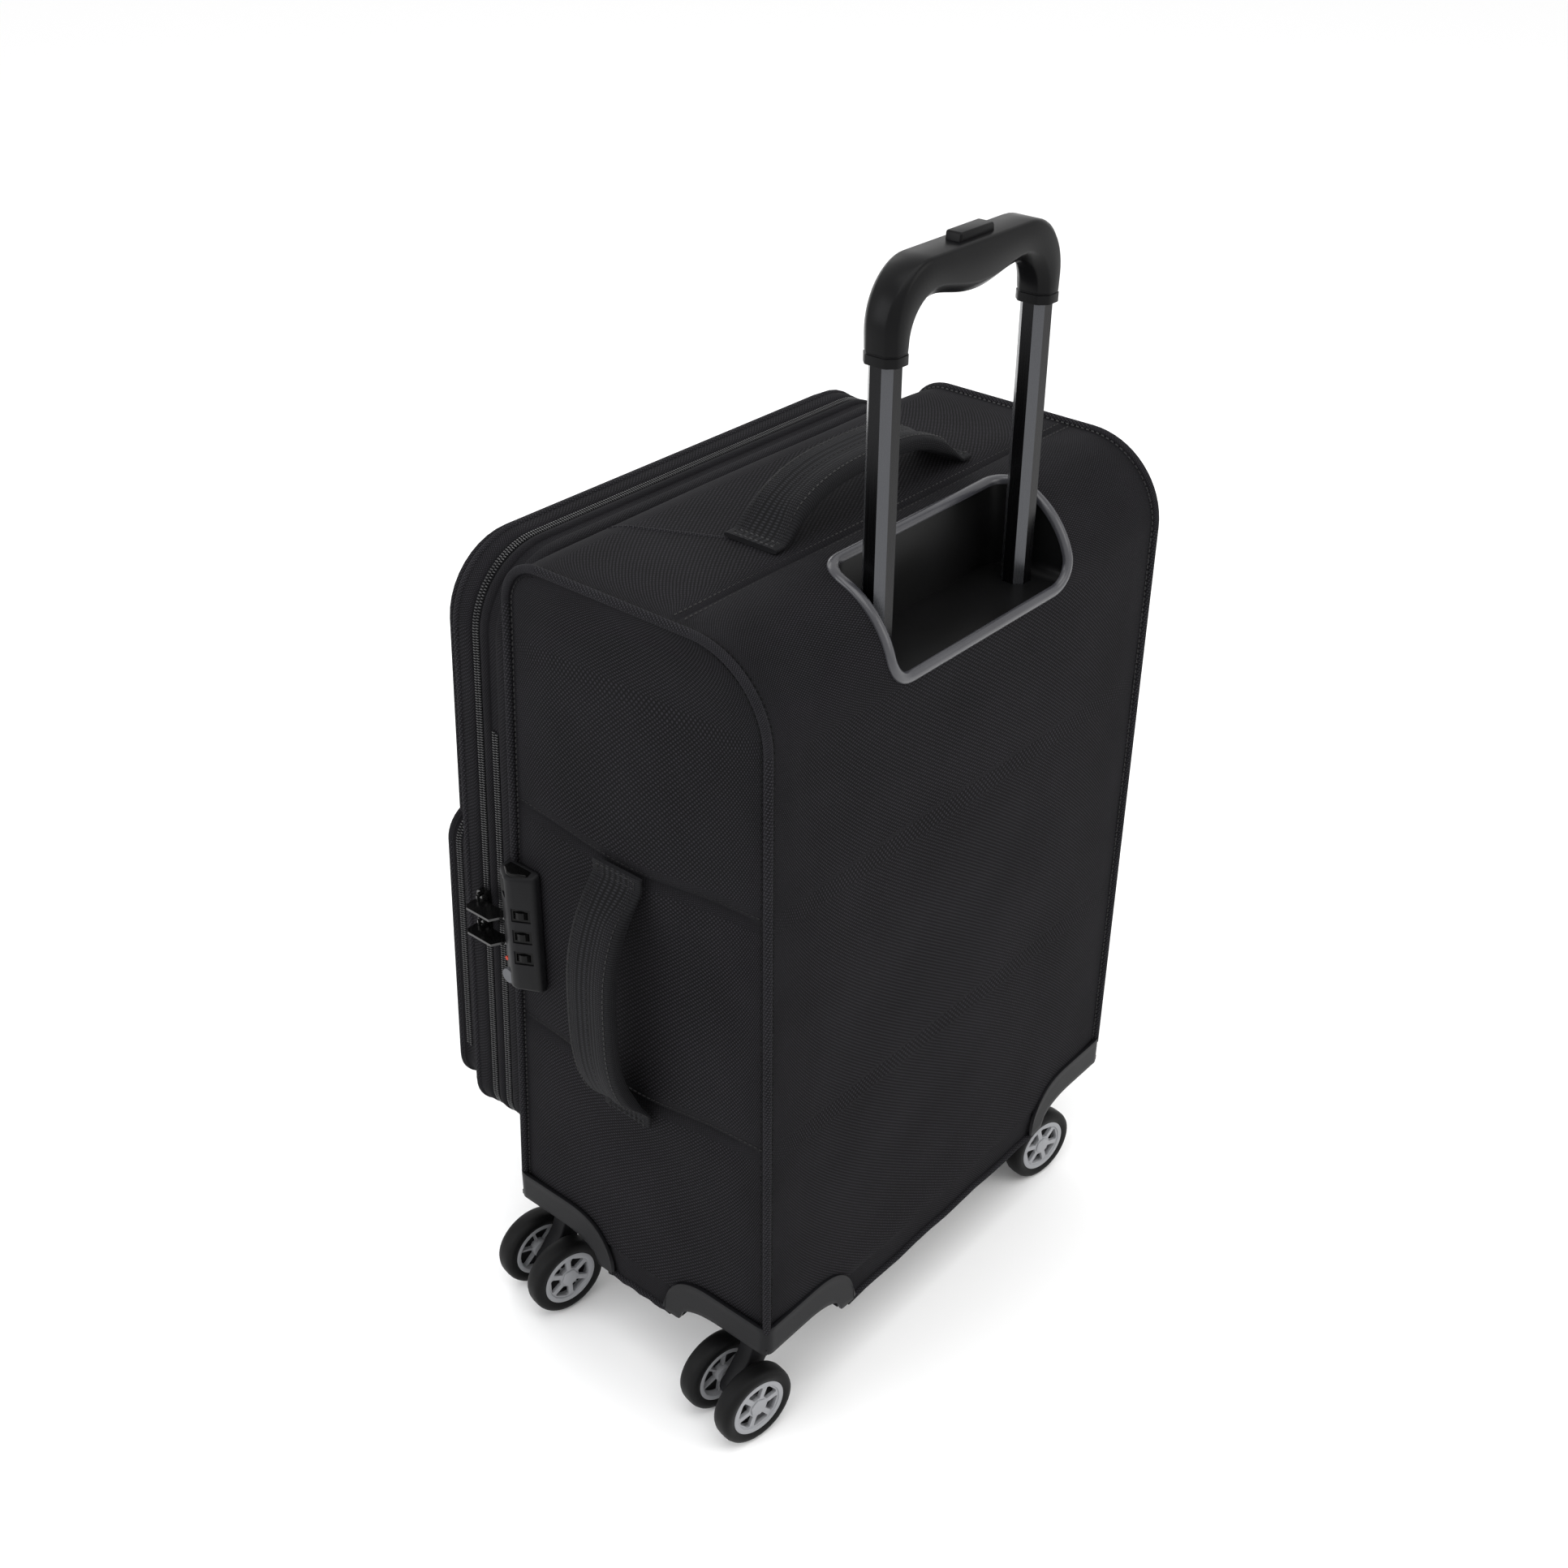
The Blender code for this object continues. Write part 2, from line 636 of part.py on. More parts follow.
pocket_half = LID_HALF - POCKET_INSET
pocket_corner = LID_TOP_CORNER - POCKET_INSET
pocket("upper_pocket", (-pocket_half, POCKET_SPLIT + POCKET_INSET), (pocket_half, LID_TOP - POCKET_INSET),
       POCKET_HEM_CORNER, pocket_corner, UPPER_POCKET_DEPTH)
pocket("lower_pocket", (-pocket_half, LID_BOTTOM + LOWER_POCKET_LIFT), (pocket_half, POCKET_SPLIT),
       LID_BOTTOM_CORNER - POCKET_INSET, POCKET_TOP_CORNER, LOWER_POCKET_DEPTH)


# ---------------------------------------------------------------- telescopic handle

def tube(name, x, width, wall, low, high, parent):
    outer = octagon(width, width, TUBE_CHAMFER)
    inner = octagon(width - 2 * wall, width - 2 * wall, TUBE_CHAMFER - wall * (2 - math.sqrt(2)))
    return piece(name, band(outer, inner, "z", low, high), "anodised_tube", parent, (x, 0, 0))


tubes = empty("tube_line", case, (0, -TUBE_SETBACK, 0))
slide = empty("handle_slide", tubes)
foot_half = TUBE_X + FOOT_OVERHANG
foot_corner = (foot_half, FOOT_DEPTH / 2)
foot_outline = rounded((-foot_half, -FOOT_DEPTH / 2), foot_corner, FOOT_CORNER, FOOT_CORNER, 2)
foot = slab(foot_outline, "z", FOOT_BOTTOM, FOOT_BOTTOM + FOOT_HEIGHT)
piece("handle_foot", foot, "guard_plastic", tubes)
for name, x in (("left", -TUBE_X), ("right", TUBE_X)):
    tube("outer_tube_" + name, x, OUTER_TUBE_WIDTH, TUBE_WALL, OUTER_TUBE_BOTTOM, OUTER_TUBE_TOP, tubes)
    tube("inner_tube_" + name, x, TUBE_WIDTH, TUBE_WALL, INNER_TUBE_BOTTOM, GRIP_BOTTOM + GRIP_SOCKET, slide)

leg_out = TUBE_X + GRIP_LEG / 2
leg_in = TUBE_X - GRIP_LEG / 2
bar_low = GRIP_TOP - GRIP_BAR
outer_corner = (leg_out - GRIP_OUTER_RADIUS, GRIP_TOP - GRIP_OUTER_RADIUS)
inner_corner = (leg_in - GRIP_INNER_RADIUS, bar_low - GRIP_INNER_RADIUS)
over_arch = [(leg_in, GRIP_BOTTOM), (leg_out, GRIP_BOTTOM)]
over_arch += arc(outer_corner, GRIP_OUTER_RADIUS, 0, 90, 6)
under_arch = arc(inner_corner, GRIP_INNER_RADIUS, 90, 0, 5)
arch = over_arch + [(-x, z) for x, z in reversed(over_arch)]
arch += [(-x, z) for x, z in reversed(under_arch)] + under_arch
grip_shape = slab(arch, "y", -GRIP_DEPTH / 2, GRIP_DEPTH / 2)
bevel_edges(
    grip_shape, GRIP_BEVEL, 2, lambda middle, way: abs(way.y) < 0.5 and middle.z > GRIP_BOTTOM + GAP
)
grip = piece("grip", grip_shape, "grip_plastic", slide)
for x in (-TUBE_X, TUBE_X):
    socket_width = TUBE_WIDTH + 2 * GAP
    socket = slab([(x + u, v) for u, v in octagon(socket_width, socket_width, TUBE_CHAMFER)], "z",
                  GRIP_BOTTOM - GRIP_SOCKET, GRIP_BOTTOM + GRIP_SOCKET + GAP)
    combine(grip, socket, "DIFFERENCE")
well_half = (BUTTON_LENGTH / 2 + GAP, BUTTON_WIDTH / 2 + GAP)
well_low = GRIP_TOP + BUTTON_PROUD - BUTTON_DEPTH - BUTTON_TRAVEL - GAP
well_outline = rounded((-well_half[0], -well_half[1]), well_half, BUTTON_CORNER, BUTTON_CORNER, 2)
combine(grip, slab(well_outline, "z", well_low, GRIP_TOP + BUTTON_PROUD), "DIFFERENCE")

button_half = (BUTTON_LENGTH / 2, BUTTON_WIDTH / 2)
button_low = GRIP_TOP + BUTTON_PROUD - BUTTON_DEPTH
button_outline = rounded((-button_half[0], -button_half[1]), button_half, BUTTON_CORNER, BUTTON_CORNER, 2)
button_top = GRIP_TOP + BUTTON_PROUD
button_shape = slab(button_outline, "z", button_low, button_top)
bevel_edges(button_shape, BUTTON_BEVEL, 1, lambda middle, _: abs(middle.z - button_top) < GAP)
piece("push_button", button_shape, "grip_plastic", slide)
for name, x in (("left", -TUBE_X), ("right", TUBE_X)):
    rod_low = INNER_TUBE_BOTTOM + BUTTON_TRAVEL + GAP
    rod_high = GRIP_BOTTOM + GRIP_SOCKET - GAP
    piece("push_rod_" + name, rod("z", ROD_RADIUS, rod_low, rod_high, 8), "steel", slide, (x, 0, 0))


# ---------------------------------------------------------------- handle cup

def cup_plan(spread):
    """The cup's plan outline, open to the back, moved outwards by spread."""
    x = CUP_HALF_WIDTH + spread
    back = 2 * CUP_CORNER
    front = -CUP_DEPTH - spread
    radius = CUP_CORNER + spread
    return (
        [(x, back)]
        + list(reversed(arc((x - radius, front + radius), radius, -90, 0, 5)))
        + list(reversed(arc((-x + radius, front + radius), radius, 180, 270, 5)))
        + [(-x, back)]
    )


cup_bottom = CUP_FLOOR - CUP_FLOOR_WALL
above = CASE_TOP + 2 * CUP_CORNER
hole = slab(cup_plan(CUP_WALL + GAP), "z", cup_bottom - GAP, above)
combine(back_panel, hole, "DIFFERENCE")
outside = back_and_top(-CUP_PROUD)
outside = outside[1:] + [(outside[-1][0], cup_bottom - CUP_WALL), (CUP_PROUD, cup_bottom - CUP_WALL)]
cup = piece("handle_cup", slab(cup_plan(CUP_WALL), "z", cup_bottom, above), "cup_plastic", case)
combine(cup, slab(outside, "x", -CASE_WIDTH, CASE_WIDTH), "INTERSECT")
combine(cup, slab(cup_plan(0), "z", CUP_FLOOR, above + CUP_WALL), "DIFFERENCE")
hole_width = TUBE_WIDTH + 2 * SLIDE_GAP
for x in (-TUBE_X, TUBE_X):
    passage = [(x + u, v - TUBE_SETBACK) for u, v in octagon(hole_width, hole_width, TUBE_CHAMFER)]
    combine(cup, slab(passage, "z", cup_bottom - CUP_WALL, CUP_FLOOR + CUP_WALL), "DIFFERENCE")


# ---------------------------------------------------------------- carry handles

def carry_arch():
    """A padded strap's side view as (distance along, rise): a foot at each end and a bow between."""
    half = CARRY_SPAN / 2
    bow = half - CARRY_FOOT
    rise = CARRY_RISE - CARRY_THICKNESS
    outside, inside = [], []
    for across, up in arc((0, 0), 1, 180, 0, 12):
        outside.append((bow * across, GAP + CARRY_THICKNESS + rise * up))
        inside.append(((bow - CARRY_THICKNESS) * across, GAP + rise * up))
    left_foot = [(-half, GAP), (-half, GAP + CARRY_HEM)]
    right_foot = [(half, GAP + CARRY_HEM), (half, GAP)]
    return left_foot + outside + right_foot + list(reversed(inside))


top_strap = slab([(u, v + CASE_TOP) for u, v in carry_arch()], "y", -CARRY_WIDTH / 2, CARRY_WIDTH / 2)
piece("top_carry_handle", top_strap, "webbing", case, (0, TOP_CARRY_Y, 0))
side_strap = slab([(v, u) for u, v in carry_arch()], "y", -CARRY_WIDTH / 2, CARRY_WIDTH / 2)
piece("side_carry_handle", side_strap, "webbing", case, (HALF_WIDTH, SIDE_CARRY_Y, SIDE_CARRY_Z))


# ---------------------------------------------------------------- combination lock

lock_front = front_of_case(LOCK_BOTTOM + LOCK_HEIGHT / 2) - LOCK_FRONT_OVERLAP
lock = empty("lock_place", case, (HALF_WIDTH + GAP, lock_front, LOCK_BOTTOM))
ridge_front = LOCK_RIDGE_SETBACK - LOCK_RIDGE_FLAT / 2
ridge_back = LOCK_RIDGE_SETBACK + LOCK_RIDGE_FLAT / 2
lock_section = [(0, 0), (LOCK_FRONT_HEIGHT, 0), (LOCK_RIDGE_HEIGHT, ridge_front)]
lock_section += [(LOCK_RIDGE_HEIGHT, ridge_back), (LOCK_EDGE_HEIGHT, LOCK_WIDTH), (0, LOCK_WIDTH)]
lock_shape = slab(lock_section, "z", 0, LOCK_HEIGHT)
bevel_edges(
    lock_shape, LOCK_BEVEL, 2, lambda middle, way: middle.x > LOCK_EDGE_HEIGHT / 2 and abs(way.z) < 0.5
)
lock_body = piece("lock_body", lock_shape, "lock_plastic", lock)
dial_place = (DIAL_LIFT, LOCK_WIDTH - DIAL_SETBACK)
for number in range(DIAL_COUNT):
    height = FIRST_DIAL - LOCK_BOTTOM + number * DIAL_PITCH
    pocket_low = height - DIAL_THICKNESS / 2 - GAP
    pocket_high = height + DIAL_THICKNESS / 2 + GAP
    recess = rod("z", DIAL_RADIUS + 2 * GAP, pocket_low, pocket_high, 20, dial_place)
    combine(lock_body, recess, "DIFFERENCE")
    dial = rod("z", DIAL_RADIUS, -DIAL_THICKNESS / 2, DIAL_THICKNESS / 2, 20)
    piece(f"dial_{number + 1}", dial, "dial_plastic", lock, (*dial_place, height))
key_rise = (LOCK_RIDGE_HEIGHT - LOCK_FRONT_HEIGHT) * KEY_SETBACK / ridge_front
key_top = LOCK_FRONT_HEIGHT + key_rise + KEY_PROUD
key_place = (KEY_SETBACK, KEY_HEIGHT)
key_bore = rod("x", KEY_RADIUS + GAP, key_top - KEY_LENGTH - GAP, 2 * LOCK_RIDGE_HEIGHT, 16, key_place)
combine(lock_body, key_bore, "DIFFERENCE")
key_barrel = rod("x", KEY_RADIUS, -KEY_LENGTH / 2, KEY_LENGTH / 2)
piece("key_cylinder", key_barrel, "zip_metal", lock, (key_top - KEY_LENGTH / 2, *key_place))
release_slot = [
    (KEY_SETBACK - RELEASE_WIDTH / 2 - GAP, RELEASE_HEIGHT - RELEASE_LENGTH / 2 - RELEASE_TRAVEL - GAP),
    (KEY_SETBACK + RELEASE_WIDTH / 2 + GAP, RELEASE_HEIGHT + RELEASE_LENGTH / 2 + GAP),
]
slot_outline = rounded(*release_slot, RELEASE_CORNER, RELEASE_CORNER, 1)
combine(lock_body, slab(slot_outline, "x", RELEASE_SEAT, 2 * LOCK_RIDGE_HEIGHT), "DIFFERENCE")
half_release = (RELEASE_WIDTH / 2, RELEASE_LENGTH / 2)
release_low = (-half_release[0], -half_release[1])
release_outline = rounded(release_low, half_release, RELEASE_CORNER, RELEASE_CORNER, 1)
release_button = slab(release_outline, "x", 0, RELEASE_DEPTH)
release_place = (RELEASE_SEAT + GAP, KEY_SETBACK, RELEASE_HEIGHT)
piece("lock_release", release_button, "dial_plastic", lock, release_place)


# ---------------------------------------------------------------- zip sliders and pulls

def pull_leaf(reach):
    """A pull's plan outline about its pin: a round eye, a broad leaf and a narrow tip for the lock."""
    outer = PULL_WIDTH - PULL_EYE
    shoulder = reach - PULL_TIP - PULL_WIDTH / 3
    return arc((0, 0), PULL_EYE, 180, 270, 4) + [
        (outer - PULL_EYE, -PULL_EYE),
        (outer, 0),
        (outer, shoulder),
        (PULL_TIP_WIDTH - PULL_EYE, reach - PULL_TIP),
        (PULL_TIP_WIDTH - PULL_EYE, reach),
        (GAP - PULL_EYE, reach),
        (-PULL_EYE, reach - PULL_TIP),
    ]


for number, height in enumerate(PULL_HEIGHTS, start=1):
    slider_y = front_of_case(height) - BAND_DEPTH
    runner = empty(f"zip_runner_{number}", case, (LID_HALF + GAP, slider_y, height))
    half = (SLIDER_WIDTH / 2, SLIDER_LENGTH / 2)
    block_outline = rounded((-half[0], -half[1]), half, SLIDER_CORNER, SLIDER_CORNER, 2)
    block = slab(block_outline, "x", 0, SLIDER_HEIGHT)
    slider = piece(f"zip_slider_{number}", block, "zip_metal", runner)
    arm_outline = [(SLIDER_HEIGHT / 2, -PIN_RADIUS), (PULL_PIN_LIFT, -PIN_RADIUS)]
    arm_outline += [(PULL_PIN_LIFT, PIN_RADIUS), (SLIDER_HEIGHT / 2, PIN_RADIUS)]
    for low in (-half[1], half[1] - PIN_ARM):
        combine(slider, slab(arm_outline, "z", low, low + PIN_ARM), "UNION")
    pin = rod("z", PIN_RADIUS, -half[1] + PIN_ARM / 2, half[1] - PIN_ARM / 2, 12, (PULL_PIN_LIFT, 0))
    combine(slider, pin, "UNION")
    reach = lock_front - slider_y + PULL_TIP - GAP
    leaf = slab(pull_leaf(reach), "z", -PULL_THICKNESS / 2, PULL_THICKNESS / 2)
    pull = piece(f"zip_pull_{number}", leaf, "zip_metal", runner, (PULL_PIN_LIFT, 0, 0))
    combine(pull, rod("z", PIN_RADIUS + GAP, -PULL_THICKNESS, PULL_THICKNESS, 12), "DIFFERENCE")
    slot_floor = PULL_PIN_LIFT - PULL_EYE - HALF_WIDTH + LID_HALF - GAP
    slot_outline = [(slot_floor, -LOCK_WIDTH), (LOCK_WIDTH, -LOCK_WIDTH)]
    slot_outline += [(LOCK_WIDTH, PULL_TIP + GAP), (slot_floor, PULL_TIP + GAP)]
    slot_half = PULL_THICKNESS / 2 + PULL_SLOT_ROOM
    middle = height - LOCK_BOTTOM
    combine(lock_body, slab(slot_outline, "z", middle - slot_half, middle + slot_half), "DIFFERENCE")


# ---------------------------------------------------------------- stand the whole on the origin

bpy.context.view_layer.update()
corners = []
for shown in bpy.context.scene.objects:
    if shown.type == "MESH":
        corners += [shown.matrix_world @ vertex.co for vertex in shown.data.vertices]
for index in (0, 1):
    values = [corner[index] for corner in corners]
    case.location[index] = -(min(values) + max(values)) / 2
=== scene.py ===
"""Looks for a softside upright suitcase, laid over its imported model: woven polyester shell, zipped
lid with pockets, padded carry handles, anodised telescopic handle, combination lock and casters."""
import math

import bmesh
import bpy
from mathutils import Matrix, Vector, noise


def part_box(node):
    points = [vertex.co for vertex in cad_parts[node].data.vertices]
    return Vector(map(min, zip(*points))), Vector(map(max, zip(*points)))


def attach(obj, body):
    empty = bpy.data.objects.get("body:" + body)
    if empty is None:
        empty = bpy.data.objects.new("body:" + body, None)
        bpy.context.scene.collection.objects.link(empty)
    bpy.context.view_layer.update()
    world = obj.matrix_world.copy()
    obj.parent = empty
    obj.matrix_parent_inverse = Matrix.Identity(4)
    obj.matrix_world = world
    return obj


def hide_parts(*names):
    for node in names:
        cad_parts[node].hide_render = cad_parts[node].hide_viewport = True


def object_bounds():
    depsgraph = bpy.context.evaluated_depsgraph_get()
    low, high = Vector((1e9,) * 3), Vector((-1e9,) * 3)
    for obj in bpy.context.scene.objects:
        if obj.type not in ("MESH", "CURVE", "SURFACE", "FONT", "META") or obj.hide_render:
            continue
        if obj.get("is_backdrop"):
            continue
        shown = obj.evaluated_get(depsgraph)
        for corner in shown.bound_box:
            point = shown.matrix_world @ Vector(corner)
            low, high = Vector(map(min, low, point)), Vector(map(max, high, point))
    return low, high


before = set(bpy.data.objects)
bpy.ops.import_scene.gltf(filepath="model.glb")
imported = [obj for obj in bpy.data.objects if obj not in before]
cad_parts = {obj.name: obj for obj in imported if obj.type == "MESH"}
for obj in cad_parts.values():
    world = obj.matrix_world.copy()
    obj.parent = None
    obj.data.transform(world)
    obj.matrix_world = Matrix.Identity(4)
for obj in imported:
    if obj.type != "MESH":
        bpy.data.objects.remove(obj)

cad_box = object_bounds()


# ---------------------------------------------------------------- camera, floor and light
# A product shot from behind and above: a pale floor that runs out of view, one large soft light
# overhead and a softer one on each side.

middle_x = (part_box("side_panel_left")[0][0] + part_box("side_panel_right")[1][0]) / 2
back_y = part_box("back_panel")[1][1]


def at(x, y, z):
    """A place measured from the middle of the width, the back face and the floor."""
    return Vector((middle_x + x, back_y + y, z))


azimuth, elevation, roll = math.radians(130.07), math.radians(31.74), math.radians(0.47)
backwards = Vector((
    math.sin(azimuth) * math.cos(elevation), -math.cos(azimuth) * math.cos(elevation), math.sin(elevation)
))
level = Vector((0, 0, 1)).cross(backwards).normalized()
upwards = backwards.cross(level)
turn = Matrix((
    level * math.cos(roll) + upwards * math.sin(roll),
    upwards * math.cos(roll) - level * math.sin(roll),
    backwards,
)).transposed()
view = bpy.data.cameras.new("view")
view.sensor_width = 36
view.lens = 44.6
view.clip_start = 0.02
camera = bpy.data.objects.new("view", view)
bpy.context.scene.collection.objects.link(camera)
camera.matrix_world = Matrix.Translation(at(0.7889, 0.5232, 0.9722)) @ turn.to_4x4()
bpy.context.scene.camera = camera

for name, place, size, power, tint in (
    ("overhead_softbox", (0.3, 0.4, 2.3), 1.8, 22, (1.0, 1.0, 1.0)),
    ("side_softbox", (2.0, -0.9, 1.3), 1.4, 16, (0.97, 0.98, 1.0)),
    ("back_softbox", (-0.9, 2.1, 1.5), 1.4, 13, (1.0, 0.99, 0.97)),
    ("lid_softbox", (-0.8, -2.2, 1.4), 1.6, 13, (1.0, 1.0, 1.0)),
):
    lamp = bpy.data.lights.new(name, "AREA")
    lamp.size = size
    lamp.energy = power
    lamp.color = tint
    shining = bpy.data.objects.new(name, lamp)
    bpy.context.scene.collection.objects.link(shining)
    shining.location = place
    shining.rotation_euler = (Vector((0, 0, 0.3)) - Vector(place)).to_track_quat("-Z", "Y").to_euler()

sky = bpy.data.worlds.new("white_room")
sky.use_nodes = True
sky.node_tree.nodes["Background"].inputs["Color"].default_value = (1, 1, 1, 1)
sky.node_tree.nodes["Background"].inputs["Strength"].default_value = 1.0
bpy.context.scene.world = sky
bpy.context.scene.view_settings.view_transform = "Standard"


def linear(hex_colour):
    """An sRGB hex colour as the linear value that a shader takes."""
    value = []
    for start in (1, 3, 5):
        part = int(hex_colour[start:start + 2], 16) / 255
        value.append(part / 12.92 if part <= 0.04045 else ((part + 0.055) / 1.055) ** 2.4)
    return (*value, 1)


def node(tree, kind, values=None, links=None, **settings):
    """Add one node, with its settings, its plain input values and what its inputs are joined to."""
    made = tree.nodes.new(kind)
    for name, value in settings.items():
        setattr(made, name, value)
    for socket, value in (values or {}).items():
        made.inputs[socket].default_value = value
    for socket, source in (links or {}).items():
        tree.links.new(source, made.inputs[socket])
    return made


def blank(name):
    """A new material with its tree emptied, and an output to join a shader to."""
    made = bpy.data.materials.new(name)
    made.use_nodes = True
    made.node_tree.nodes.clear()
    return made, made.node_tree, made.node_tree.nodes.new("ShaderNodeOutputMaterial")


def shaded(tree, out, values, links=None):
    """Join a Principled shader, with its values and links, to a material's output."""
    shader = node(tree, "ShaderNodeBsdfPrincipled", values, links)
    tree.links.new(shader.outputs["BSDF"], out.inputs["Surface"])


# Seamless studio paper: matt, almost white.
paper, tree, out = blank("seamless_paper")
shaded(tree, out, {"Base Color": linear("#fbfbfb"), "Roughness": 0.9})
bpy.ops.object.select_all(action="DESELECT")
bpy.ops.mesh.primitive_plane_add(size=16, location=(0, 0, -0.0004))
floor = bpy.context.object
floor.name = "studio_floor"
floor.data.materials.append(paper)
floor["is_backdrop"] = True


# ---------------------------------------------------------------- fabric shell: side panels
# Each side is one face of foam-backed polyester twill with two sewn cross seams. The cloth is laid
# over a board and puffs slightly between its seams.

def sheet_of_cloth(name, columns, rows, place, width, height, facing=None):
    """A grid laid by rule: place(u, v) gives its points, and its UV map is in metres."""
    bpy.ops.object.select_all(action="DESELECT")
    bpy.ops.mesh.primitive_grid_add(x_subdivisions=columns, y_subdivisions=rows, size=2)
    made = bpy.context.object
    made.name = made.data.name = name
    for corner in made.data.uv_layers.active.data:
        corner.uv = (corner.uv[0] * width, corner.uv[1] * height)
    for vertex in made.data.vertices:
        vertex.co = place((vertex.co.x + 1) / 2, (vertex.co.y + 1) / 2)
    made.data.update()
    if facing is not None:
        total = Vector((0, 0, 0))
        for face in made.data.polygons:
            total += face.normal * face.area
        if total.dot(Vector(facing)) < 0:
            made.data.flip_normals()
    return made


def finished(made, finish, body, slot, *stands_for, angle=35):
    """Smooth a piece, give it its material, and say which body it rides on. The slot is not used."""
    bpy.ops.object.select_all(action="DESELECT")
    made.select_set(True)
    bpy.context.view_layer.objects.active = made
    bpy.ops.object.shade_smooth_by_angle(angle=math.radians(angle))
    made.data.materials.clear()
    made.data.materials.append(finish)
    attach(made, body)
    if stands_for:
        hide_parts(*stands_for)
    return made


def applied(made, kind, **settings):
    """Add a modifier and apply it."""
    change = made.modifiers.new("change", kind)
    for name, value in settings.items():
        setattr(change, name, value)
    bpy.ops.object.select_all(action="DESELECT")
    made.select_set(True)
    bpy.context.view_layer.objects.active = made
    bpy.ops.object.modifier_apply(modifier=change.name)
    return made


def worked_out(tree, operation, *terms):
    """One step of arithmetic on sockets and plain numbers."""
    made = tree.nodes.new("ShaderNodeMath")
    made.operation = operation
    for index, term in enumerate(terms):
        if isinstance(term, float):
            made.inputs[index].default_value = term
        else:
            tree.links.new(term, made.inputs[index])
    return made.outputs[0]


def ramp(tree, value, first, last, start=0.0, end=1.0):
    """A colour that goes from one hex colour to another as a value rises."""
    made = node(tree, "ShaderNodeValToRGB", links={"Fac": value})
    for stop, colour, place in zip(made.color_ramp.elements, (first, last), (start, end)):
        stop.color = linear(colour)
        stop.position = place
    return made.outputs["Color"]


wave_scale = 0.314  # a wave texture's bands are this much over its scale apart


# Polyester twill: black yarn in fine diagonal ribs, matt with a slight sheen on slopes. The real
# ribs are 0.6 mm apart; they are drawn 1.5 mm apart so that they show.
def twill_cloth(name, yarn, shadow, rib=0.0015, slant=45):
    made, tree, out = blank(name)
    coords = node(tree, "ShaderNodeTexCoord").outputs["UV"]
    turned, crossed = (
        node(tree, "ShaderNodeMapping", {"Rotation": (0, 0, math.radians(degrees))}, {"Vector": coords})
        for degrees in (slant, slant + 78)
    )
    ribs = node(
        tree, "ShaderNodeTexWave",
        {"Scale": wave_scale / rib, "Distortion": 0.6, "Detail": 1.0, "Detail Scale": 2.0},
        {"Vector": turned.outputs["Vector"]},
    )
    yarns = node(
        tree, "ShaderNodeTexWave", {"Scale": wave_scale / rib * 0.9, "Distortion": 1.2},
        {"Vector": crossed.outputs["Vector"]},
    )
    slubs = node(
        tree, "ShaderNodeTexNoise", {"Scale": 900.0, "Detail": 2.0, "Roughness": 0.6}, {"Vector": coords}
    )
    wear = node(tree, "ShaderNodeTexNoise", {"Scale": 22.0, "Detail": 3.0}, {"Vector": coords})
    weave = worked_out(tree, "MULTIPLY", ribs.outputs["Fac"], yarns.outputs["Fac"])
    grain = worked_out(tree, "MULTIPLY", weave, slubs.outputs["Fac"])
    worn = worked_out(tree, "ADD", grain, worked_out(tree, "MULTIPLY", wear.outputs["Fac"], 0.16))
    relief = node(tree, "ShaderNodeBump", {"Strength": 0.6, "Distance": 0.0005}, {"Height": grain})
    shaded(
        tree, out,
        {"Roughness": 0.82, "Specular IOR Level": 0.05, "Sheen Weight": 0.015, "Sheen Roughness": 0.4,
         "Sheen Tint": linear("#9a9aa0")},
        {"Base Color": ramp(tree, worn, shadow, yarn, end=0.75), "Normal": relief.outputs["Normal"]},
    )
    return made


twill = twill_cloth("polyester_twill", "#302f33", "#060606")

half_width = 0.1776
foot_depth, front_lean = 0.212, 0.055
side_handle_y = -0.104
back_radius, front_radius = 0.050, 0.026
case_top, well_top = 0.540, 0.0808
cloth_low, cloth_thick = 0.0582, 0.003
bend_low = case_top - back_radius
well_reach = 0.073
seam_high, seam_low = 0.387, 0.230


def front_y(z):
    """The case's front leans back as it rises."""
    return -(foot_depth - front_lean * z)


def well_slope(z):
    """How far the walls of the wheel wells have sloped out at a height."""
    return 0.005 * (well_top - z) / (well_top - 0.058)


def edges_at(z):
    """Where a side panel's front and back edges are at a height."""
    if z < well_top:
        return front_y(well_top) + well_reach + well_slope(z), -well_reach - well_slope(z)
    rise = max(0.0, z - bend_low)
    back = -back_radius + math.sqrt(max(0.0, back_radius ** 2 - rise ** 2))
    rise = max(0.0, z - (case_top - front_radius))
    front = front_y(min(z, case_top - front_radius)) + front_radius
    return front - math.sqrt(max(0.0, front_radius ** 2 - rise ** 2)), back


levels = [cloth_low, 0.064, 0.070, 0.076, well_top - 0.0001, well_top + 0.0001]
levels += [0.088 + 0.0075 * step for step in range(54)]
levels += [bend_low + back_radius * math.sin(math.pi / 2 * step / 14) for step in range(1, 15)]
for seam in (seam_high, seam_low):
    levels = [z for z in levels if abs(z - seam) > 0.0065]
    levels += [seam + gap for gap in (-0.006, -0.003, -0.0012, 0, 0.0012, 0.003, 0.006)]
levels = sorted(levels)


def dipped(y, z):
    """The seams sag towards the side handle that is sewn into them."""
    pull = 0.0
    for seam, depth in ((seam_high, 0.009), (seam_low, 0.011)):
        pull += depth * math.exp(-((y - side_handle_y) / 0.050) ** 2 - ((z - seam) / 0.045) ** 2)
    return z - pull


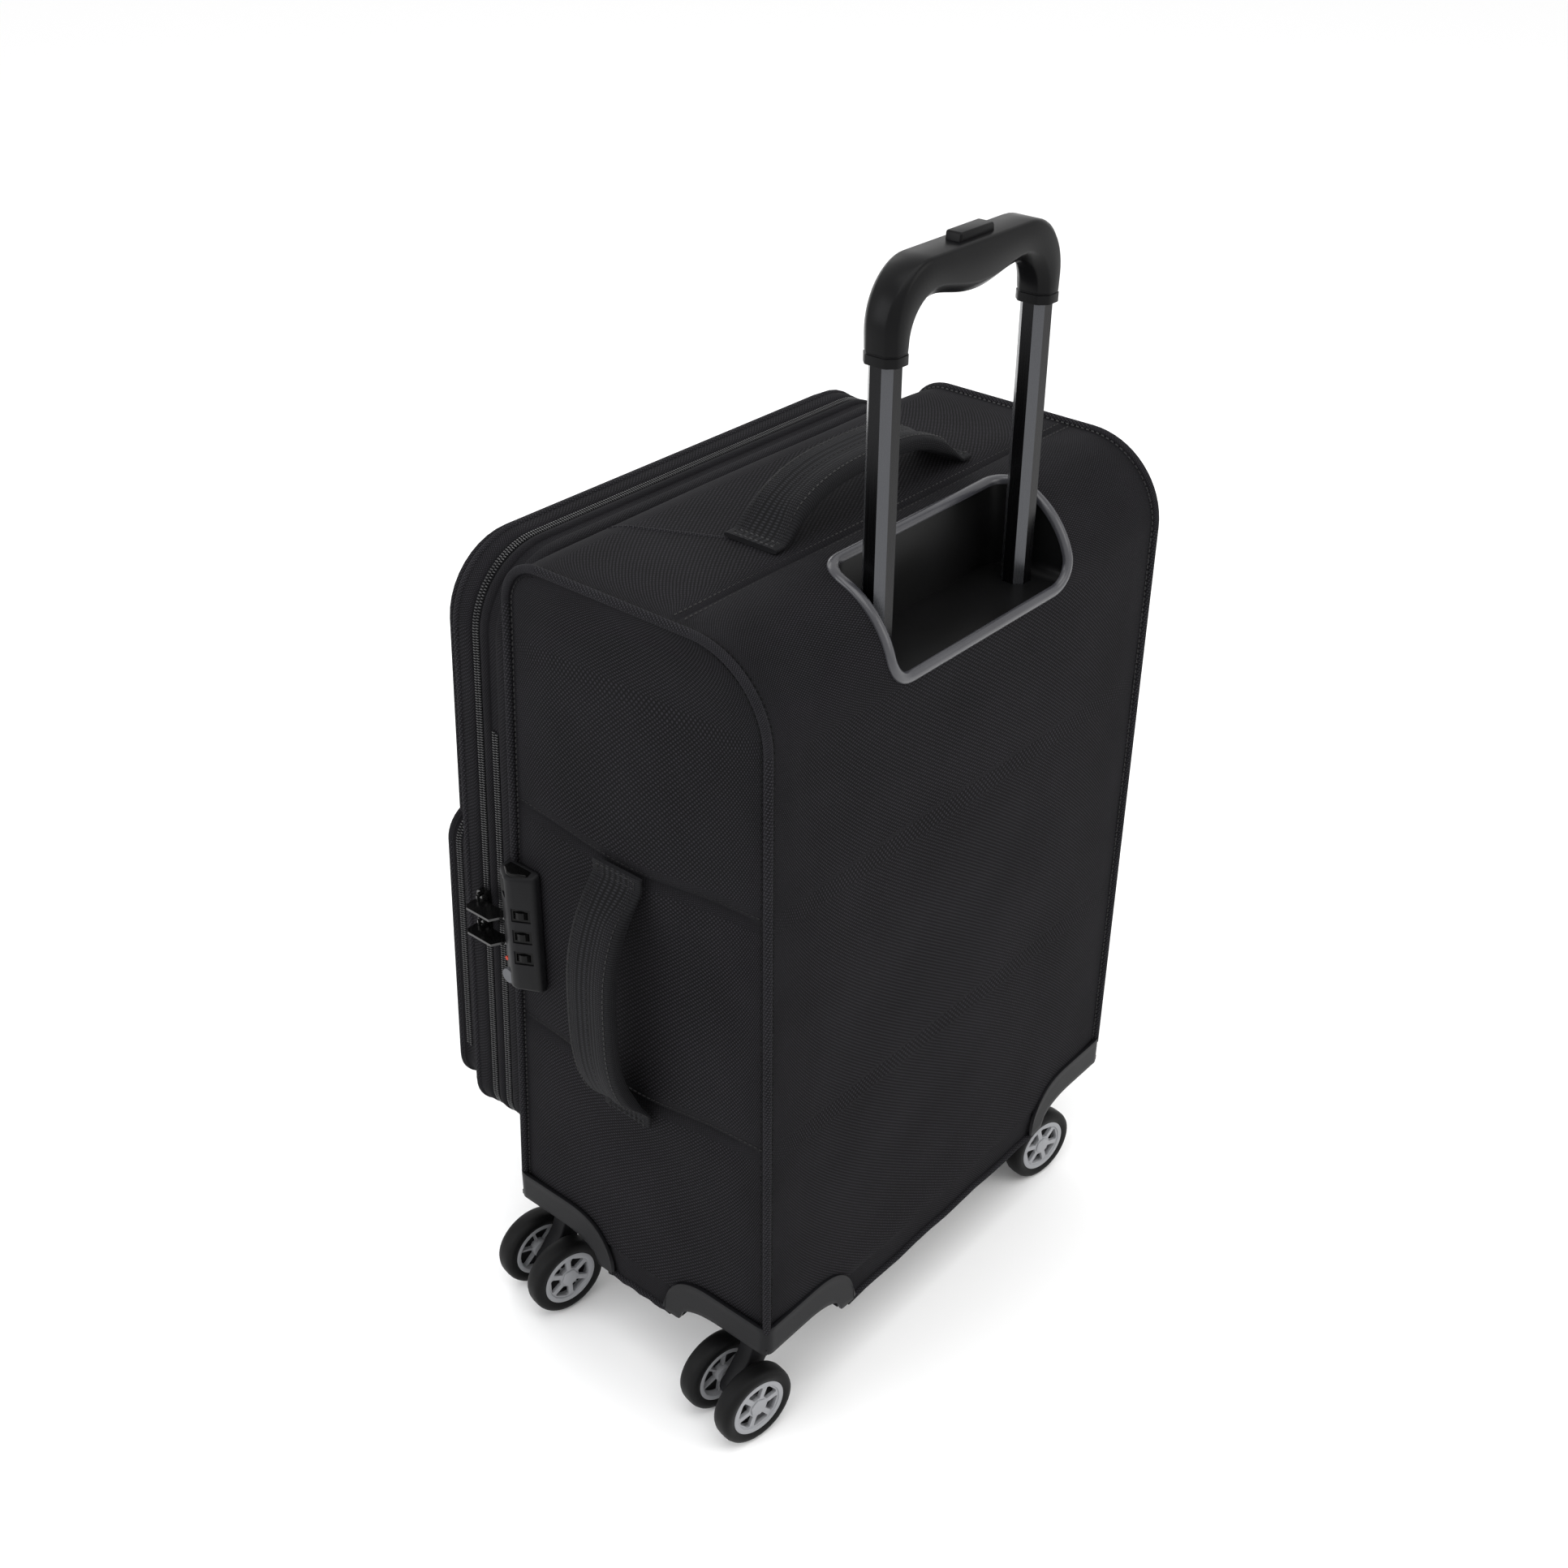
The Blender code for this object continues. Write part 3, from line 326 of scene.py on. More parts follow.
def puffed(z):
    """How far the cloth swells between its cross seams: 0 at a seam, 1 in the middle."""
    for low, high in ((0.05, seam_low), (seam_low, seam_high), (seam_high, 0.545)):
        if low <= z <= high:
            return 1 - abs(2 * (z - low) / (high - low) - 1) ** 14
    return 0.0


for name, side in (("left", -1), ("right", 1)):
    def on_side(u, v, side=side):
        z = levels[round(v * (len(levels) - 1))]
        across = 0.5 - 0.5 * math.cos(math.pi * u)
        front, back = edges_at(z)
        y = front + (back - front) * across
        swell = (1 - abs(2 * across - 1) ** 7) * puffed(z)
        wave = noise.noise(Vector((y * 16, z * 11, side * 3.1))) * 0.0007
        upper = 0.0009 if z > seam_high else 0.0
        return at(side * (half_width - 0.0012 + 0.0028 * swell + (wave + upper) * swell), y, dipped(y, z))
    panel = sheet_of_cloth(
        f"side_cloth_{name}", 48, len(levels) - 1, on_side, 0.205, 0.482, (side, 0, 0)
    )
    applied(panel, "SOLIDIFY", thickness=cloth_thick, offset=-1)
    finished(panel, twill, "case", "twill", f"side_panel_{name}")


# ---------------------------------------------------------------- fabric shell: back and top
# One length of the same twill runs up the back, over the rounded top edge and forward to the lid.
# A cross seam joins a front piece on the top, and a hole is cut for the handle's cup.

wrap_line = []
for z in levels:
    if z < bend_low - 0.001 and min(abs(z - seam_low), abs(z - seam_high)) > 0.004:
        wrap_line.append((0.0, z))
for step in range(17):
    angle = math.pi / 2 * step / 16
    wrap_line.append((-back_radius + back_radius * math.cos(angle), bend_low + back_radius * math.sin(angle)))
top_seam = -0.066
for y in (-0.055, -0.060, -0.0635, -0.065, top_seam, -0.067, -0.0685, -0.072):
    wrap_line.append((y, case_top))
wrap_line += [(-0.078 - 0.008 * step, case_top) for step in range(10)]
front_centre = front_y(case_top - front_radius) + front_radius
for step in range(11):
    angle = math.pi / 2 * step / 10
    wrap_line.append((
        front_centre - front_radius * math.sin(angle),
        case_top - front_radius + front_radius * math.cos(angle),
    ))


def half_at(z):
    """Half the width of the back and the front at a height: narrower between the wheel wells."""
    return half_width if z > well_top else 0.179 - well_reach - well_slope(z)


def on_wrap(u, v):
    y, z = wrap_line[round(v * (len(wrap_line) - 1))]
    across = 0.5 - 0.5 * math.cos(math.pi * u)
    x = half_at(z) * (2 * across - 1)
    swell = 1 - abs(2 * across - 1) ** 12
    if z < bend_low:
        way = Vector((0, 1, 0))
        swell *= min(1.0, (z - 0.058) / 0.03)
    elif y > -back_radius:
        way = Vector((0, y + back_radius, z - bend_low)).normalized()
    else:
        way = Vector((0, 0, 1))
        swell *= 1 - math.exp(-abs(y - top_seam) / 0.004)
        if z < case_top:
            way = Vector((0, y - front_centre, z - case_top + front_radius)).normalized()
    wave = noise.noise(Vector((x * 12, y * 16, z * 12 + 7))) * 0.0008
    return at(x, y, z) + way * (-0.0012 + 0.0024 * swell + wave * swell)


wrap = sheet_of_cloth("back_and_top_cloth", 60, len(wrap_line) - 1, on_wrap, 0.355, 0.72, (0, 1, 0.4))
applied(wrap, "SOLIDIFY", thickness=cloth_thick, offset=-1)

cup_half, cup_depth, cup_corner, cup_floor = 0.080, 0.047, 0.016, 0.490


def channel(half, mouth, floor, radius):
    """An outline open at its mouth, with the two corners at its floor rounded."""
    points = [(half, mouth)]
    for step in range(15):
        angle = -math.pi / 2 * step / 14
        points.append((half - radius + radius * math.cos(angle), floor + radius + radius * math.sin(angle)))
    return points + [(-across, along) for across, along in reversed(points)]


def board(name, outline, low, high, place):
    """A flat outline extruded into a board; place(u, v, height) gives the corner's point."""
    bpy.ops.object.select_all(action="DESELECT")
    bpy.ops.mesh.primitive_circle_add(vertices=len(outline), radius=1, fill_type="NGON")
    made = bpy.context.object
    made.name = made.data.name = name
    for vertex, (u, v) in zip(made.data.vertices, outline):
        vertex.co = place(u, v, low)
    bpy.ops.object.mode_set(mode="EDIT")
    bpy.ops.mesh.select_all(action="SELECT")
    step = place(0, 0, high) - place(0, 0, low)
    bpy.ops.mesh.extrude_region_move(TRANSFORM_OT_translate={"value": step})
    bpy.ops.mesh.select_all(action="SELECT")
    bpy.ops.mesh.normals_make_consistent(inside=False)
    bpy.ops.object.mode_set(mode="OBJECT")
    return made


def cut(made, tool, operation="DIFFERENCE"):
    """Cut one closed piece with another, and remove the cutter."""
    applied(made, "BOOLEAN", object=tool, operation=operation, solver="EXACT")
    bpy.data.objects.remove(tool, do_unlink=True)
    return made


def cup_block(name, spread, low, high, radius):
    """A solid of the cup's plan, moved outwards by spread, with its lower corners rounded."""
    half = cup_half + spread
    plan = channel(half, 0.03, -cup_depth - spread, cup_corner + spread)
    block = board(name, plan, low, high, lambda u, v, h: at(u, v, h))
    seen_from_behind = channel(half, 0.62, low, radius)
    corners = board("corners", seen_from_behind, -0.2, 0.1, lambda u, v, h: at(u, h, v))
    return cut(block, corners, "INTERSECT")


cut(wrap, cup_block("cup_hole", 0.0035, 0.4857, 0.60, 0.0195))
finished(wrap, twill, "case", "twill", "back_panel")

kick_levels = [cloth_low, 0.066, 0.074, well_top - 0.0001, well_top + 0.0001, 0.090, 0.100, 0.112, 0.125]


def on_kick(u, v):
    z = kick_levels[round(v * (len(kick_levels) - 1))]
    x = half_at(z) * (2 * u - 1)
    swell = (1 - abs(2 * u - 1) ** 8) * math.sin(math.pi * (z - cloth_low) / (kick_levels[-1] - cloth_low))
    return at(x, front_y(z) + 0.001 - 0.0015 * swell, z)


kick = sheet_of_cloth("front_kick_cloth", 48, len(kick_levels) - 1, on_kick, 0.355, 0.07, (0, -1, 0))
applied(kick, "SOLIDIFY", thickness=cloth_thick, offset=-1)
finished(kick, twill, "case", "twill", "front_kick_panel")


# ---------------------------------------------------------------- piping and seams of the shell
# Cord wrapped in bias-cut twill is sewn into every long edge. A line of lockstitch runs beside it.

def swept(name, path, section, closed=False):
    """A section of (across, out) points carried along a path of (point, normal) pairs. Where the
    section changes on the way, a list holds one for each point of the path."""
    count = len(path)
    sections = section if isinstance(section[0], list) else [section] * count
    ring = len(sections[0])
    frames = []
    length = 0.0
    for index, (point, normal) in enumerate(path):
        before = path[index - 1][0] if index or closed else point
        after = path[(index + 1) % count][0] if closed or index + 1 < count else point
        way = (after - before).normalized()
        if index:
            length += (point - path[index - 1][0]).length
        frames.append((point, way.cross(normal).normalized(), normal, sections[index]))
    around = sum((Vector(a) - Vector(b)).length for a, b in zip(sections[0], sections[0][1:]))
    if closed:
        frames.append(frames[0])

    def place(u, v):
        point, across, out, outline = frames[round(v * (len(frames) - 1))]
        a, b = outline[round(u * ring) % ring]
        return point + across * a + out * b

    made = sheet_of_cloth(name, ring, len(frames) - 1, place, around, length)
    mesh = bmesh.new()
    mesh.from_mesh(made.data)
    bmesh.ops.remove_doubles(mesh, verts=mesh.verts, dist=0.000005)
    if not closed:
        bmesh.ops.holes_fill(mesh, edges=[edge for edge in mesh.edges if edge.is_boundary], sides=0)
    bmesh.ops.recalc_face_normals(mesh, faces=mesh.faces)
    mesh.to_mesh(made.data)
    mesh.free()
    return made


def polygon(radius, sides=10, turn_deg=0.0):
    """The corners of an even polygon, as (across, out) points."""
    angles = [math.radians(turn_deg) + 2 * math.pi * side / sides for side in range(sides)]
    return [(radius * math.cos(angle), radius * math.sin(angle)) for angle in angles]


def walked(path, pitch, start=0.0, closed=False):
    """Places an even pitch apart along a path, each as (point, normal, direction)."""
    places = []
    left = start
    onward = path[1:] + (path[:1] if closed else [])
    for (point, normal), (after, turned_to) in zip(path, onward):
        step = after - point
        if step.length < 0.00001:
            continue
        while left < step.length:
            share = left / step.length
            out = normal.lerp(turned_to, share).normalized()
            places.append((point.lerp(after, share), out, step.normalized()))
            left += pitch
        left -= step.length
    return places


def repeated(name, shape, places):
    """One small shape, as (points, faces), set at every place along a path."""
    points, faces = [], []
    for point, normal, way in places:
        base = len(points)
        across = way.cross(normal)
        points += [point + way * a + across * b + normal * c for a, b, c in shape[0]]
        faces += [[base + corner for corner in face] for face in shape[1]]
    mesh = bpy.data.meshes.new(name)
    mesh.from_pydata(points, [], faces)
    made = bpy.data.objects.new(name, mesh)
    bpy.context.scene.collection.objects.link(made)
    return made


def stitch():
    """One stitch: a thread that dives into the cloth at both ends."""
    length, width, height = 0.0026, 0.0006, 0.00045
    points = [(-length / 2, 0, -height)]
    for along in (-length / 3, length / 3):
        points += [(along, -width / 2, -height / 2), (along, 0, height), (along, width / 2, -height / 2)]
    points.append((length / 2, 0, -height))
    faces = [(0, 1, 2), (0, 2, 3), (1, 4, 5, 2), (2, 5, 6, 3), (7, 5, 4), (7, 6, 5)]
    return points, faces


# Sewing thread: bonded polyester, a little glossier than the cloth.
thread, tree, out = blank("bonded_polyester_thread")
coords = node(tree, "ShaderNodeTexCoord").outputs["Object"]
fleck = node(tree, "ShaderNodeTexNoise", {"Scale": 700.0, "Detail": 1.0}, {"Vector": coords})
colour = ramp(tree, fleck.outputs["Fac"], "#0c0c0c", "#1d1d1e")
shaded(tree, out, {"Roughness": 0.5, "Specular IOR Level": 0.4}, {"Base Color": colour})

# Piping: the same twill cut on the bias, so its ribs run nearly across the cord; its yarn is painted paler as
# a highlight.
piping_highlight_cloth = twill_cloth("bias_cut_piping_twill_painted_highlight", "#39383c", "#0a0a0b", rib=0.0014, slant=70)


def sewn(name, path, body="case", closed=False):
    """A line of lockstitch, 3.6 mm to the stitch, along a path."""
    finished(repeated(name, stitch(), walked(path, 0.0036, 0.0, closed)), thread, body, "twill")


def piped(name, path, section, body="case", closed=False):
    """A covered cord, or a fold of cloth, sewn along a path."""
    finished(swept(name, path, section, closed), piping_highlight_cloth, body, "twill", angle=60)


def shell_edge(x, lift, lowest=0.094):
    """The side view of the case as a path, from the front up and over to the back."""
    path = []
    lean = Vector((0, -1, -front_lean)).normalized()
    for step in range(30):
        z = lowest + (case_top - front_radius - lowest) * step / 30
        path.append((at(x, front_y(z), z) + lean * lift, lean))
    for step in range(13):
        angle = math.pi / 2 * step / 12
        way = Vector((0, -math.cos(angle), math.sin(angle)))
        path.append((at(x, front_centre, case_top - front_radius) + way * (front_radius + lift), way))
    for step in range(1, 10):
        y = front_centre + (-back_radius - front_centre) * step / 10
        path.append((at(x, y, case_top + lift), Vector((0, 0, 1))))
    for step in range(17):
        angle = math.pi / 2 * step / 16
        way = Vector((0, math.sin(angle), math.cos(angle)))
        path.append((at(x, -back_radius, bend_low) + way * (back_radius + lift), way))
    for step in range(1, 31):
        z = bend_low + (lowest - bend_low) * step / 30
        path.append((at(x, lift, z), Vector((0, 1, 0))))
    return path


for name, side in (("left", -1), ("right", 1)):
    piped(f"edge_piping_{name}", shell_edge(side * 0.1782, -0.0004), polygon(0.0025, 12))
    sewn(f"edge_stitching_{name}_1", shell_edge(side * 0.1742, 0.0002))
    on_the_side = [(point, Vector((side, 0, 0))) for point, normal in shell_edge(side * 0.1786, -0.0048)]
    sewn(f"edge_stitching_{name}_2", on_the_side)

side_x, front_foot = 0.1786, front_y(0.06) + 0.078
for name, start, end, out_way in (
    ("right", (side_x, -0.078), (side_x, front_foot), (1, 0, -0.6)),
    ("left", (-side_x, -0.078), (-side_x, front_foot), (-1, 0, -0.6)),
    ("back", (-0.101, -0.0004), (0.101, -0.0004), (0, 1, -0.6)),
    ("front", (-0.101, front_y(0.058)), (0.101, front_y(0.058)), (0, -1, -0.6)),
):
    path = []
    for step in range(13):
        place = at(*start, cloth_low).lerp(at(*end, cloth_low), step / 12)
        place.z += 0.0007 * math.sin(step * 1.9)
        path.append((place, Vector(out_way).normalized()))
    piped(f"bottom_piping_{name}", path, polygon(0.0023))

# A row of lockstitch runs above each cross seam of the sides, and on both sides of the top's seam.
row_gap = 0.0032
for name, side in (("left", -1), ("right", 1)):
    for seam_name, seam in (("upper", seam_high), ("lower", seam_low)):
        front, back = edges_at(seam)
        path = []
        for step in range(41):
            y = front + 0.004 + (back - front - 0.008) * step / 40
            share = 2 * (y - front) / (back - front) - 1
            lift = 0.0024 * (1 - abs(share) ** 7) * puffed(seam + row_gap) + 0.0002
            place = at(side * (half_width - 0.0009 + lift), y, dipped(y, seam + row_gap))
            path.append((place, Vector((side, 0, 0))))
        sewn(f"{seam_name}_seam_stitching_{name}", path)
for name, offset in (("back", 0.0035), ("front", -0.0035)):
    path = [(at(-0.170 + 0.01 * step, top_seam + offset, 0.5402), Vector((0, 0, 1))) for step in range(35)]
    sewn(f"top_seam_stitching_{name}", path)
for name, side in (("left", -1), ("right", 1)):
    path = []
    for step in range(9):
        y = -0.176 + 0.072 * step / 8
        drop = max(0.0, front_centre - y)
        rise = math.sqrt(front_radius ** 2 - drop ** 2)
        place = at(side * (0.118 - 0.034 * step / 8), y, case_top - front_radius + rise + 0.0012)
        path.append((place, Vector((0, -drop, rise)).normalized()))
    fold = [(-0.0022, -0.0014), (-0.0008, 0.0004), (0.0008, 0.0004), (0.0022, -0.0014)]
    piped(f"handle_panel_seam_{name}", path, fold)


# ---------------------------------------------------------------- expansion band, lid and pockets
# The lid's side is a stack of sewn bands: a twill band with the expansion zip in it, the main zip's
# two tapes, and a twill band with piping at the lid's face. Coil zips are woven polyester tape with
# a moulded nylon coil.

# Each outline is half its width, its foot, its top, and its lower and upper corner radius.
lid_area = (0.1785, 0.126, 0.531, 0.028, 0.045)
upper_area = (0.1755, 0.355, 0.528, 0.006, 0.042)
lower_area = (0.1755, 0.138, 0.352, 0.025, 0.020)


def drawn_in(inset, half, low, high, low_r, high_r):
    """A round-cornered outline's measures, moved inwards by inset."""
    return half - inset, low + inset, high - inset, low_r - inset, high_r - inset


def rim(forward, inset, area):
    """A round-cornered outline on the sloping front, as (point, outward normal) pairs."""
    half, low, high, low_r, high_r = drawn_in(inset, *area)
    flat = []
    for centre, radius, start in (
        ((half - low_r, low + low_r), low_r, -90), ((half - high_r, high - high_r), high_r, 0),
        ((-half + high_r, high - high_r), high_r, 90), ((-half + low_r, low + low_r), low_r, 180),
    ):
        for step in range(11):
            angle = math.radians(start + 9 * step)
            way = (math.cos(angle), math.sin(angle))
            flat.append((centre[0] + radius * way[0], centre[1] + radius * way[1], way))
    filled = []
    for (x, z, way), (next_x, next_z, _) in zip(flat, flat[1:] + flat[:1]):
        gap = math.hypot(next_x - x, next_z - z)
        pieces = round(gap / 0.012) if gap > 0.03 else 1
        for step in range(pieces):
            share = step / pieces
            filled.append((x + (next_x - x) * share, z + (next_z - z) * share, way))
    return [(at(x, front_y(z) - forward, z), Vector((way[0], 0, way[1]))) for x, z, way in filled]


def opened(path, keeps):
    """The stretch of a closed path whose heights keeps(z) is true for, as an open path."""
    kept = [pair for pair in path if keeps(pair[0].z)]
    start = max(range(len(kept)), key=lambda i: (kept[i][0] - kept[i - 1][0]).length)
    return kept[start:] + kept[:start]


def pleat_depth(z):
    """How deep the folded pleat is tucked inside the case: deepest at the bottom, none near the top."""
    return 0.0395 * max(0.0, min(1.0, (0.430 - z) / 0.304))


def band_section(z):
    """The band's section as (forward, outward): the pleat inside, then a fold, a zip lane and a fold."""
    deep = max(0.0008, pleat_depth(z))
    return [
        (-deep, -0.0062), (-deep, -0.0049), (-0.0008, -0.0047), (-0.0002, -0.0016), (0.0006, -0.0002),
        (0.0035, 0.0006), (0.0072, 0.0004), (0.0092, -0.0003), (0.0098, -0.0014), (0.0128, -0.0015),
        (0.0158, -0.0014), (0.0164, -0.0003), (0.0185, 0.0005), (0.0208, 0.0003), (0.0216, -0.0006),
        (0.0220, -0.0014), (0.0249, -0.0015), (0.0250, -0.0060), (0.0130, -0.0062), (-0.0004, -0.0063),
    ]


# The path runs anticlockwise seen from the front, so its across direction points to the back.
def forwards(section):
    return [(-forward, outward) for forward, outward in section]


band_path = rim(0.0, 0.0, lid_area)
band = swept("expansion_band", band_path, [forwards(band_section(point.z)) for point, _ in band_path], True)
finished(band, twill, "expansion_frame", "twill", "expansion_gusset", angle=50)

lid_side = [
    (0.0256, -0.0015), (0.0286, -0.0014), (0.0292, -0.0004), (0.0312, 0.0004), (0.0350, 0.0006),
    (0.0385, 0.0003), (0.0400, -0.0006), (0.0404, -0.0040), (0.0400, -0.0100), (0.0385, -0.0100),
    (0.0380, -0.0045), (0.0256, -0.0042),
]
lid_band = swept("lid_band", rim(0.0, 0.0, lid_area), forwards(lid_side), closed=True)
finished(lid_band, twill, "front_lid", "twill", "lid_gusset", angle=50)


def crowned(name, forward, inset, crown, rim_drop, edge, columns, rows, area, ripple=0.0006):
    """A face of padded cloth in a round-cornered outline, sewn down all round and crowned between."""
    half, low, high, low_r, high_r = drawn_in(inset, *area)

    def place(u, v):
        z = low + (high - low) * (0.5 - 0.5 * math.cos(math.pi * v))
        reach = half
        if z < low + low_r:
            reach = half - low_r + math.sqrt(max(0.0, low_r ** 2 - (low + low_r - z) ** 2))
        if z > high - high_r:
            reach = half - high_r + math.sqrt(max(0.0, high_r ** 2 - (z - high + high_r) ** 2))
        x = reach * -math.cos(math.pi * u)
        radius = low_r if z < (low + high) / 2 else high_r
        qx = abs(x) - half + radius
        qz = abs(z - (low + high) / 2) - (high - low) / 2 + radius
        inside = radius - math.hypot(max(qx, 0), max(qz, 0)) - min(max(qx, qz), 0)
        share = max(0.0, min(1.0, inside / edge))
        lift = rim_drop * math.sqrt(max(0.0, 1 - (1 - share) ** 2))
        lift += crown * (1 - (x / half) ** 4) * (1 - (2 * (z - low) / (high - low) - 1) ** 6)
        lift += noise.noise(Vector((x * 13, z * 9, forward * 90))) * ripple * share
        return at(x, front_y(z) - forward - lift, z)

    made = sheet_of_cloth(name, columns, rows, place, 2 * half, high - low, (0, -1, 0))
    return applied(made, "SOLIDIFY", thickness=0.0022, offset=-1)


face = crowned("lid_face_cloth", 0.0388, 0.0012, 0.0008, 0.0022, 0.006, 64, 72, lid_area)
finished(face, twill, "front_lid", "twill", "lid_panel")
piped("lid_face_piping", rim(0.0402, 0.0006, lid_area), polygon(0.0023), "front_lid", closed=True)

upper_side = [(0.0405, -0.0004), (0.0462, 0.0), (0.0474, -0.0012), (0.0474, -0.006), (0.0405, -0.006)]
pocket_band = swept("upper_pocket_band", rim(0.0, 0.0, upper_area), forwards(upper_side), closed=True)
finished(pocket_band, twill, "front_lid", "twill", angle=50)
face = crowned("upper_pocket_cloth", 0.0462, 0.0008, 0.0022, 0.0020, 0.007, 60, 44, upper_area)
finished(face, twill, "front_lid", "twill", "upper_pocket")
piped("upper_pocket_piping", rim(0.0470, 0.0008, upper_area), polygon(0.0020), "front_lid", closed=True)

lower_side = [
    (0.0405, -0.0004), (0.0440, 0.0008), (0.0475, 0.0005), (0.0486, -0.0008), (0.0518, -0.0010),
    (0.0550, -0.0008), (0.0560, 0.0004), (0.0580, 0.0002), (0.0592, -0.0014), (0.0592, -0.007),
    (0.0405, -0.007),
]
pocket_band = swept("lower_pocket_band", rim(0.0, 0.0, lower_area), forwards(lower_side), closed=True)
finished(pocket_band, twill, "front_lid", "twill", angle=50)
face = crowned("lower_pocket_cloth", 0.0578, 0.0010, 0.0030, 0.0022, 0.008, 64, 48, lower_area, ripple=0.0010)
finished(face, twill, "front_lid", "twill", "lower_pocket")
piped("lower_pocket_piping", rim(0.0590, 0.0010, lower_area), polygon(0.0022), "front_lid", closed=True)

# Zip coil: moulded nylon monofilament, black and satin, with paler random flecks as painted glints. The real
# pitch is 1.3 mm, drawn at 1.7 mm.
coil, tree, out = blank("moulded_nylon_coil")
coords = node(tree, "ShaderNodeTexCoord").outputs["Object"]
# Painted glints: a fine noise lays paler flecks over the black.
painted_glints = node(tree, "ShaderNodeTexNoise", {"Scale": 260.0, "Detail": 2.0}, {"Vector": coords})
colour = ramp(tree, painted_glints.outputs["Fac"], "#0c0c0c", "#262628")
shaded(tree, out, {"Roughness": 0.32, "Specular IOR Level": 0.5}, {"Base Color": colour})


def coil_tooth(reach):
    """One turn of the coil: a low, round-backed bar that hooks over the middle line."""
    points, faces = [], []
    for across, tall in ((0, 0.0005), (reach * 0.25, 0.0012), (reach * 0.8, 0.0013), (reach, 0.0006)):
        points += [(-0.00048, across, -0.0004), (-0.00036, across, tall), (0.00036, across, tall),
                   (0.00048, across, -0.0004)]
    for step in range(3):
        base = 4 * step
        faces += [(base, base + 4, base + 5, base + 1), (base + 1, base + 5, base + 6, base + 2),
                  (base + 2, base + 6, base + 7, base + 3)]
    faces += [(0, 1, 2, 3), (15, 14, 13, 12)]
    return points, faces


frame_body, lid_body = "expansion_frame", "front_lid"
for name, forward, inset, area, bodies, keeps in (
    ("main_zip", 0.0253, 0.0013, lid_area, (frame_body, lid_body), None),
    ("expansion_zip", 0.0128, 0.0013, lid_area, (frame_body, frame_body), lambda z: z < 0.432),
    ("lower_pocket_zip", 0.0518, 0.0010, lower_area, (lid_body, lid_body), lambda z: z > 0.170),
):
    path = rim(forward, inset, area)
    closed = keeps is None
    if not closed:
        path = opened(path, keeps)
    for row, body, way, shift in (("back", bodies[0], 1, 0.0), ("front", bodies[1], -1, 0.00085)):
        places = walked(path, 0.0017, shift, closed)
        teeth = repeated(f"{name}_coil_{row}", coil_tooth(way * 0.0024), places)
        finished(teeth, coil, body, "zip_metal", angle=60)
        if name != "lower_pocket_zip":
            beside = [(point + Vector((0, way * 0.0044, 0)), normal) for point, normal in path]
            sewn(f"{name}_stitching_{row}", beside, body, closed)


# ---------------------------------------------------------------- corner guards and wheel wells
# Injection-moulded ABS corners, riveted over the cloth. Each wraps round its corner, arches over its
# wheels and carries the ceiling and walls of the wheel well behind it.

# Moulded plastic: a spark-eroded mould leaves a fine even grain, about 0.3 mm; it is drawn at 0.8 mm.
# Broad, faint patches are a little lighter and duller, from handling.
def moulded_plastic(name, body, worn, rough=0.45, grain=0.0008, depth=0.00006, specular=0.10):
    made, tree, out = blank(name)
    coords = node(tree, "ShaderNodeTexCoord").outputs["Object"]
    fine = node(
        tree, "ShaderNodeTexNoise", {"Scale": 1 / grain, "Detail": 2.0, "Roughness": 0.7}, {"Vector": coords}
    )
    broad = node(tree, "ShaderNodeTexNoise", {"Scale": 26.0, "Detail": 4.0}, {"Vector": coords})
    patches = broad.outputs["Fac"]
    gloss = node(
        tree, "ShaderNodeMapRange", {"To Min": rough - 0.06, "To Max": rough + 0.08}, {"Value": patches}
    )
    relief = node(
        tree, "ShaderNodeBump", {"Strength": 0.5, "Distance": depth}, {"Height": fine.outputs["Fac"]}
    )
    shaded(
        tree, out, {"Specular IOR Level": specular},
        {"Base Color": ramp(tree, patches, body, worn, 0.3, 0.8), "Roughness": gloss.outputs["Result"],
         "Normal": relief.outputs["Normal"]},
    )
    return made


# Guards: black ABS, grained. Base board: black polypropylene sheet, duller.
guard_abs = moulded_plastic("moulded_abs_guards", "#0f0f11", "#131315", rough=0.4)
lining = moulded_plastic("moulded_base_board", "#151516", "#1b1b1c", rough=0.7)


def bevelled(made, width, segments, degrees=30):
    """Round every edge that turns by more than an angle."""
    limit = math.radians(degrees)
    return applied(made, "BEVEL", width=width, segments=segments, limit_method="ANGLE", angle_limit=limit)


def rod(sides, radius, length, middle):
    """An upright round rod about its middle."""
    bpy.ops.object.select_all(action="DESELECT")
    bpy.ops.mesh.primitive_cylinder_add(vertices=sides, radius=radius, depth=length, location=middle)
    bpy.ops.object.transform_apply(location=True, rotation=True, scale=True)
    return bpy.context.object


def oblong(low_u, high_u, low_v, high_v):
    return [(low_u, low_v), (high_u, low_v), (high_u, high_v), (low_u, high_v)]


def joined(name, *parts):
    """Join separate solids that are moulded or riveted together into one piece."""
    bpy.ops.object.select_all(action="DESELECT")
    for part in parts:
        part.select_set(True)
    bpy.context.view_layer.objects.active = parts[0]
    bpy.ops.object.join()
    parts[0].name = parts[0].data.name = name
    return parts[0]


def dressed(finish, *names):
    """Give CAD nodes whose shape is right their real material."""
    for name in names:
        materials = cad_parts[name].data.materials
        materials.clear()
        materials.append(finish)


